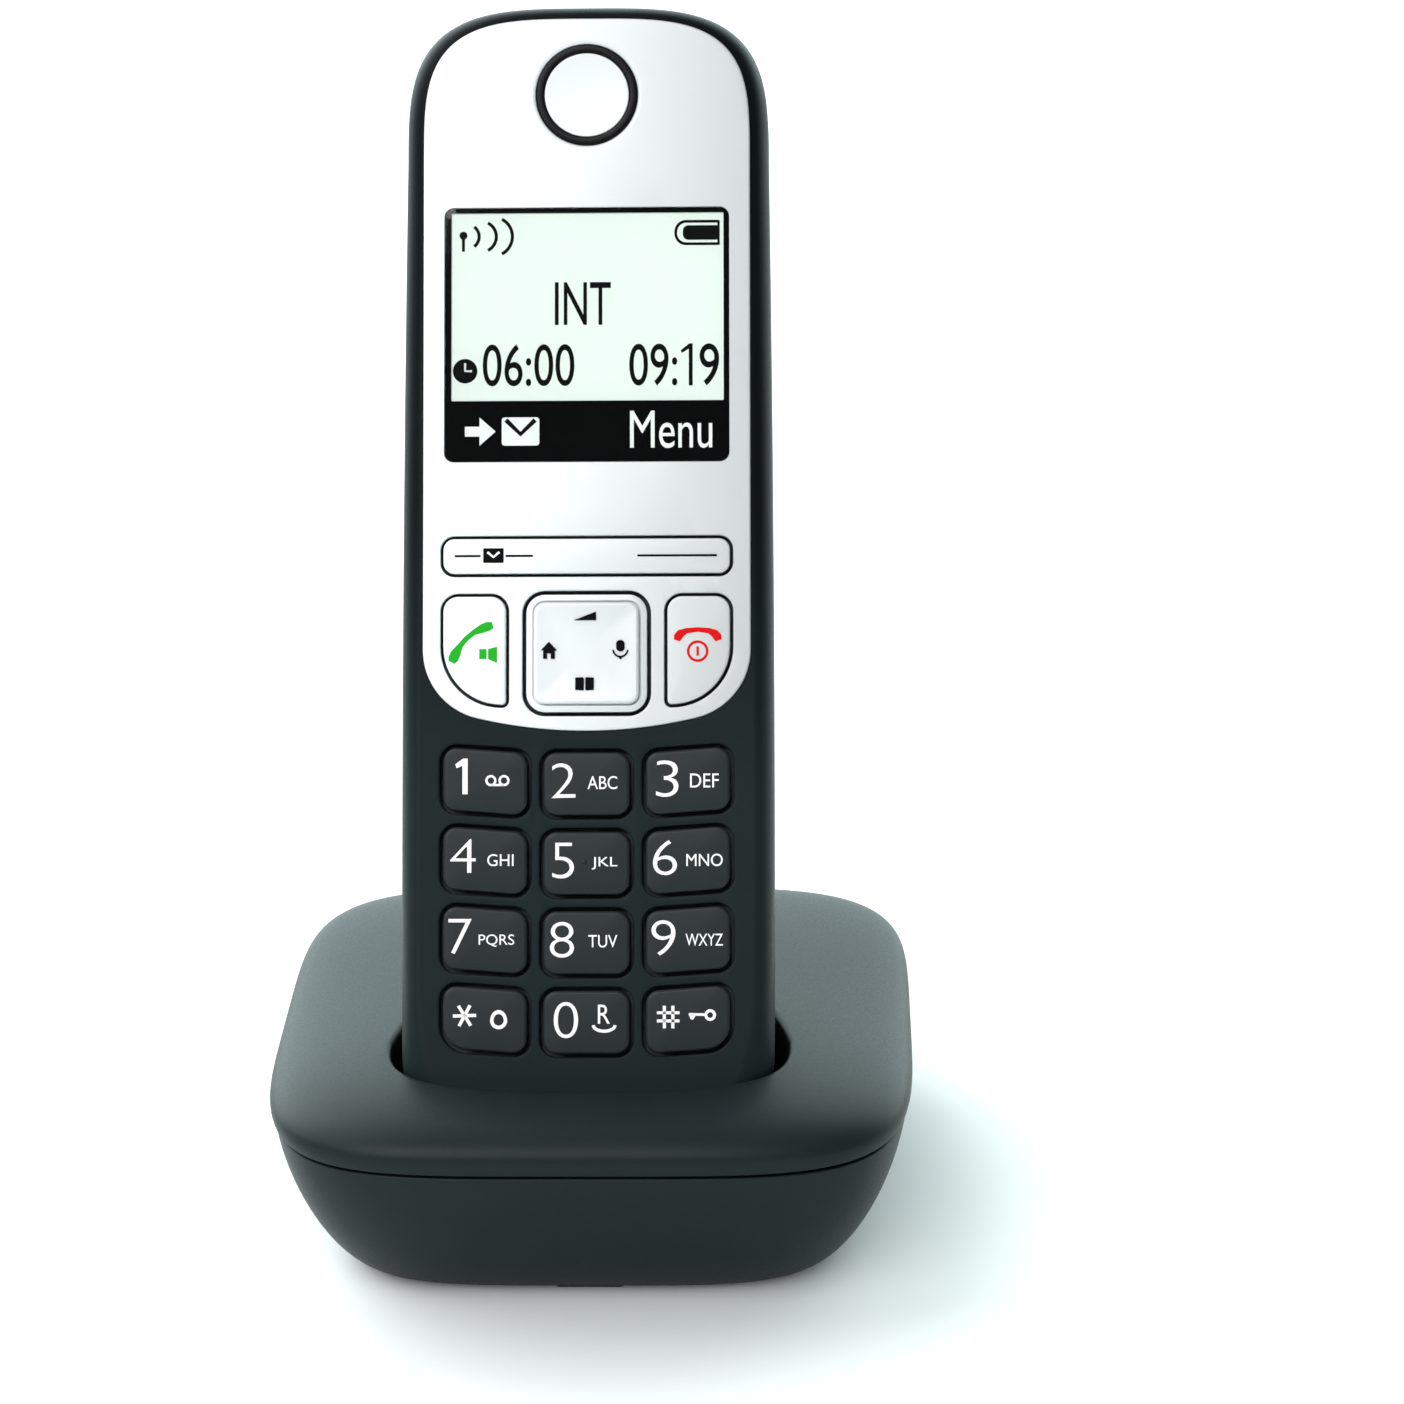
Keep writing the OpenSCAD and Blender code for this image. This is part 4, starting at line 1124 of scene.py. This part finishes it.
def star_sign():
    spokes = []
    for a in np.radians([2, 62, 122]):
        c, s = 1.5 * cos(a), 1.5 * sin(a)
        spokes.append([stroke([(-15.7 - c, 9.95 - s), (-15.7 + c, 9.95 + s)], 0.42)])
    return spokes


def bell_sign():
    outer = circle(-11.3, 9.3, 1.1, 30)
    outer[:, 1] += 0.25 * np.maximum(0, outer[:, 1] - 9.3)
    mid = outer.mean(0)
    return [[outer, mid + (outer - mid) * 0.6]]


def hash_sign():
    uprights = [[stroke([(x, 8.3), (x, 11.2)], 0.4)] for x in (10.05, 11.15)]
    return uprights + [[stroke([(9.1, z), (12.0, z)], 0.38)] for z in (9.25, 10.3)]


def lock_sign():
    return [hoop(15.95, 10.0, 0.75, 0.38), [stroke([(15.3, 10.05), (13.2, 10.1)], 0.34)],
            [[(13.2, 10.1), (14.2, 10.1), (13.75, 9.4), (13.4, 9.5)]]]


SIGNS = {
    "1": [[one(-16.95, -15.35, 38.5, 43.1, 0.68)], *tape_sign()],
    "star": [*star_sign(), *bell_sign()],
    "0": [[stroke(arc(2.3, 8.75, 1.4, 180, 360, 16) * [1, 0.55] + [0, 3.9], 0.4)]],
    "hash": [*hash_sign(), *lock_sign()],
}
legends = {name: [] for name in KEY_NAMES}
for figure, spot, letters, letters_spot in FIGURES:
    legends[figure] += [word(LEGEND, figure, spot, THIN), word(LEGEND, letters, letters_spot)]
for name, signs in SIGNS.items():
    legends[name] += [flat(LEGEND, *loops) for loops in signs]
for name, prints in legends.items():
    printed("legend_" + name, prints, "button_" + name, WHITE)

dot = cap("touch_dot", round_outline(-0.26, 29.7 + SUNK, 0.3, 24), KEY_PROUD + 0.3, 0, 0.2)
finished(dot, "button_5", KEYS)

# ---- Signs on the silver keys ----

SOFT_FACE = -SILVER_PROUD - 0.05
SOFT_PRINT = (SOFT_FACE - 0.02, SOFT_FACE + 0.06)
CALL_FACE = -SILVER_PROUD - 0.06
CALL_PRINT = (CALL_FACE - 0.03, CALL_FACE + 0.08)
NAV_FACE = -0.62
NAV_PRINT = (NAV_FACE - 0.06, NAV_FACE + 0.25)

dashes = [stroke([(x0, 69.4), (x1, 69.4)], 0.27) for x0, x1 in ((-17.1, -13.75), (-10.5, -6.96), (6.6, 16.9))]
envelope = rounded_box(-13.4, 68.5, -10.75, 70.4, 0.1, 3)
soft_prints = [flat(SOFT_PRINT, loop) for loop in (*dashes, envelope)]
printed("soft_signs", soft_prints, "soft_keys", BLACK_PRINT)
fold = flat((SOFT_FACE - 0.05, SOFT_FACE), stroke([(-12.85, 69.9), (-12.08, 69.25), (-11.3, 69.9)], 0.3))
printed("soft_envelope_fold", [fold], "soft_keys", WHITE)

wedge = [(-1.6, 61.0), (1.25, 61.0), (1.25, 62.1)]
house = [
    (-5.9, 57.1), (-4.85, 58.2), (-3.8, 57.1), (-4.1, 57.1), (-4.1, 56.0), (-4.6, 56.0),
    (-4.6, 56.7), (-5.1, 56.7), (-5.1, 56.0), (-5.6, 56.0), (-5.6, 57.1),
]
voice = [
    rounded_box(3.85, 56.95, 4.95, 58.4, 0.5, 8), stroke(arc(4.4, 57.2, 0.95, 185, 355, 16), 0.22),
    stroke([(4.4, 56.3), (4.4, 55.95)], 0.3),
]
book = [
    [(-1.44, 51.95), (-0.45, 51.9), (-0.34, 52.0), (-0.34, 53.45), (-0.5, 53.6), (-1.44, 53.55)],
    [(0.95, 51.95), (-0.04, 51.9), (-0.15, 52.0), (-0.15, 53.45), (0.01, 53.6), (0.95, 53.55)],
]
nav_prints = [flat(NAV_PRINT, loop) for loop in (wedge, house, *voice, *book)]
printed("nav_signs", nav_prints, "nav_pad", BLACK_PRINT)

# A telephone receiver is a stroke that is wider at its two ends.
raised = stroke(
    [(-17.5, 55.6), (-17.25, 56.1), (-16.95, 56.75), (-16.35, 57.75), (-15.6, 58.65),
     (-14.6, 59.45), (-13.45, 60.0), (-12.75, 60.25), (-12.15, 60.4)],
    [0.9, 1.35, 1.3, 0.72, 0.68, 0.72, 1.15, 1.2, 0.8],
)
speaker = [
    [(-13.9, 56.0), (-12.95, 56.0), (-12.95, 57.3), (-13.9, 57.3)],
    [(-12.75, 56.0), (-11.6, 55.5), (-11.6, 57.6), (-12.75, 57.3)],
]
talk_prints = [flat(CALL_PRINT, loop) for loop in (raised, *speaker)]
printed("talk_sign", talk_prints, "talk", GREEN)
hung_up = stroke(
    [(11.7, 58.35), (11.85, 58.8), (12.15, 59.2), (12.95, 59.6), (14.4, 59.75), (15.85, 59.6),
     (16.65, 59.2), (16.95, 58.8), (17.1, 58.35)],
    [0.8, 1.15, 1.1, 0.7, 0.6, 0.7, 1.1, 1.15, 0.8],
)
power = [hoop(14.4, 56.95, 1.4, 0.34), [stroke([(14.4, 56.35), (14.4, 57.55)], 0.34)]]
end_prints = [flat(CALL_PRINT, *loops) for loops in ([hung_up], *power)]
printed("end_sign", end_prints, "end", RED)

# ---- Display ----

LCD_LEFT, LCD_RIGHT, LCD_LOW, LCD_TOP = -17.7, 17.8, 89.75, 114.4
GLASS_FRONT, GLASS_BACK = 0.02, 0.7
MASK_FRONT = 0.8
INK_FRONT = 0.95
INK_PRINT = (INK_FRONT, INK_FRONT + 0.03)
STRIP_PRINT = (MASK_FRONT - 0.04, MASK_FRONT - 0.01)
TIME_ROW = (91.7, 97.2)

glass = cap("window_sheet", window_outline, -GLASS_FRONT, GLASS_BACK, 0.12)
finished(glass, "handset", WINDOW, ["display_window"])
panel = box(
    "display_sheet", LCD_LEFT - 0.3, INK_FRONT + 0.04, LCD_LOW - 0.4 + SUNK,
    LCD_RIGHT + 0.3, 2.1, LCD_TOP + 0.2 + SUNK,
)
finished(panel, "handset", LCD, ["lcd_panel"])
picture = rounded_box(LCD_LEFT, LCD_LOW, LCD_RIGHT, LCD_TOP, 0.15, 3)
mask = flat((MASK_FRONT, MASK_FRONT + 0.12), window_outline(-0.02) - [0, SUNK], picture)
printed("window_mask", [mask], "handset", MASK)


def battery_loop(x0, z0, x1, z1, r, corner, steps):
    """A battery's outline, round on its left."""
    return rounded([(x0, z0), (x1, z0), (x1, z1), (x0, z1)], [r, corner, corner, r], steps)


waves = [
    stroke(arc(right - r, 111.35, r, -half, half), 0.42)
    for right, r, half in ((-14.1, 1.62, 53), (-11.85, 2.02, 63), (-9.75, 2.59, 62))
]
marks = [
    [circle(-16.15, 111.5, 0.52, 24)],
    [stroke([(-16.15, 111.6), (-16.15, 109.4)], 0.38)],
    [battery_loop(11.4, 110.1, 17.3, 113.4, 1.5, 0.2, 8),
     battery_loop(11.75, 110.45, 17.0, 113.05, 1.2, 0.1, 8)],
    [battery_loop(12.5, 110.8, 17.0, 112.7, 0.7, 0.1, 6)],
    [one(12.2, 13.75, *TIME_ROW, 0.5)],
    [circle(-15.9, 93.7, 1.6, 40)],
    *[[wave] for wave in waves],
]
words = [
    ("INT", (-4.2, 3.1, 99.7, 105.3)), ("06:00", (-13.6, -1.65, *TIME_ROW)),
    ("09:", (5.5, 11.75, *TIME_ROW)), ("9", (14.65, 17.2, *TIME_ROW)),
]
lcd_prints = [flat(INK_PRINT, *loops) for loops in marks]
lcd_prints += [word(INK_PRINT, text, spot, 0.03) for text, spot in words]
printed("display_ink", lcd_prints, "handset", INK)
hands = stroke([(-15.9, 94.75), (-15.9, 93.7), (-15.0, 93.7)], 0.3)
printed("clock_hands", [flat((INK_FRONT - 0.03, INK_FRONT - 0.005), hands)], "handset", WHITE)
arrow = [
    (-15.9, 85.1), (-14.0, 85.1), (-14.0, 83.9), (-11.9, 85.75), (-14.0, 87.6), (-14.0, 86.4),
    (-15.9, 86.4),
]
strip_prints = [
    flat(STRIP_PRINT, arrow), flat(STRIP_PRINT, rounded_box(-11.1, 83.9, -6.2, 87.6, 0.4, 5)),
    word(STRIP_PRINT, "Menu", (5.6, 16.3, 83.5, 88.4)),
]
printed("strip_signs", strip_prints, "handset", PAINTED_GLOW_PRINT)
flap = stroke([(-10.55, 87.25), (-8.65, 85.4), (-6.75, 87.25)], 0.62)
printed("envelope_flap", [flat((MASK_FRONT - 0.08, MASK_FRONT - 0.045), flap)], "handset", INK)

# ---- CAD parts that keep their shape ----

KEPT = {
    BLACK_PLASTIC: ["power_jack", "line_jack", "contact_block", "base_board_chips", "board_chips",
                    "lcd_holder", "receiver_capsule", "loudspeaker", "nav_pivot"],
    BOARD: ["base_board", "main_board"],
    STEEL: ["base_antenna", "base_screws", "board_shield", "microphone", "handset_antenna",
            "battery_springs", "battery_plates", "handset_screws"],
    GOLD: ["charge_pads"],
    MAT_RUBBER: ["keymat"],
    SLEEVE: ["battery_cell_left", "battery_cell_right"],
}
for material, names in KEPT.items():
    for name in names:
        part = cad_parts[name]
        part.data.materials.clear()
        part.data.materials.append(material)

# ---- Floor, light and camera ----


def floor_material():
    material, tree = shader("pale_floor")
    fill(tree.nodes["Principled BSDF"], {
        "Base Color": (0.86, 0.87, 0.87, 1), "Roughness": 0.75, "Specular IOR Level": 0.2,
    })
    return material


bpy.ops.mesh.primitive_plane_add(size=8, location=(0, 0, 0))
floor = bpy.context.object
floor.name = "floor"
floor.data.materials.append(floor_material())


def sun(name, direction, strength, angle, colour, lit=None):
    """A soft distant light, for all objects or for the listed ones only."""
    data = bpy.data.lights.new(name, "SUN")
    data.energy = strength
    data.angle = radians(angle)
    data.color = colour
    lamp = new_object(name, data)
    lamp.rotation_euler = (-Vector(direction)).to_track_quat("-Z", "Y").to_euler()
    lamp.location = direction
    if lit:
        group = bpy.data.collections.new("lit_by_" + name)
        for piece in lit:
            group.objects.link(piece)
        lamp.light_linking.receiver_collection = group


meshes = [piece for piece in bpy.context.scene.objects if piece.type == "MESH" and piece is not floor]
sun("face_light", (-0.3, -0.62, 0.72), 2.45, 38, (1, 0.975, 0.96), meshes)
sun("floor_light", (-0.2, -0.78, 0.6), 2.6, 75, (0.97, 1, 0.99), [floor])
sun("side_light", (-0.66, 0.3, 0.68), 2.5, 60, (0.99, 1, 0.99))


def studio_world():
    """A room that is bright behind the object, more so at the sides, and dim towards the viewer."""
    world = bpy.data.worlds.new("studio")
    bpy.context.scene.world = world
    world.use_nodes = True
    tree = world.node_tree
    tree.nodes.clear()
    output = add(tree, "ShaderNodeOutputWorld")
    seen = add(tree, "ShaderNodeBackground", {"Color": (1, 1, 1, 1), "Strength": 1.05})
    room = add(tree, "ShaderNodeBackground", {"Color": (0.82, 0.985, 1.0, 1)})
    place = add(tree, "ShaderNodeTexCoord")
    parts = add(tree, "ShaderNodeSeparateXYZ")
    level = add(tree, "ShaderNodeMapRange", {
        "From Min": 0.3, "From Max": 0.82, "To Min": 0.12, "To Max": 3.5,
    }, interpolation_type="SMOOTHSTEP")
    aside = add(tree, "ShaderNodeMath", operation="ABSOLUTE")
    wider = add(tree, "ShaderNodeMath", {1: 1.1, 2: 0.8}, operation="MULTIPLY_ADD")
    strength = add(tree, "ShaderNodeMath", operation="MULTIPLY")
    path = add(tree, "ShaderNodeLightPath")
    both = add(tree, "ShaderNodeMixShader")
    wire(
        tree,
        (place, "Generated", parts, 0),
        (parts, "Y", level, "Value"),
        (parts, "X", aside, 0),
        (aside, 0, wider, 0),
        (wider, 0, strength, 0),
        (level, "Result", strength, 1),
        (strength, 0, room, "Strength"),
        (path, "Is Camera Ray", both, "Fac"),
        (room, 0, both, 1),
        (seen, 0, both, 2),
        (both, 0, output, "Surface"),
    )


studio_world()

camera_data = bpy.data.cameras.new("camera")
camera_data.sensor_width = 36
camera_data.lens = 116.30385
camera_data.clip_start = 0.05
camera_data.clip_end = 50
camera = new_object("camera", camera_data)
camera.location = (0.03042, -0.55887, 0.28252)
aim = Vector((0.014582, 0.00105, 0.0675)) - camera.location
camera.rotation_euler = aim.to_track_quat("-Z", "Y").to_euler()
camera.rotation_euler.rotate_axis("Z", radians(-0.75))
bpy.context.scene.camera = camera
bpy.context.scene.view_settings.view_transform = "Standard"
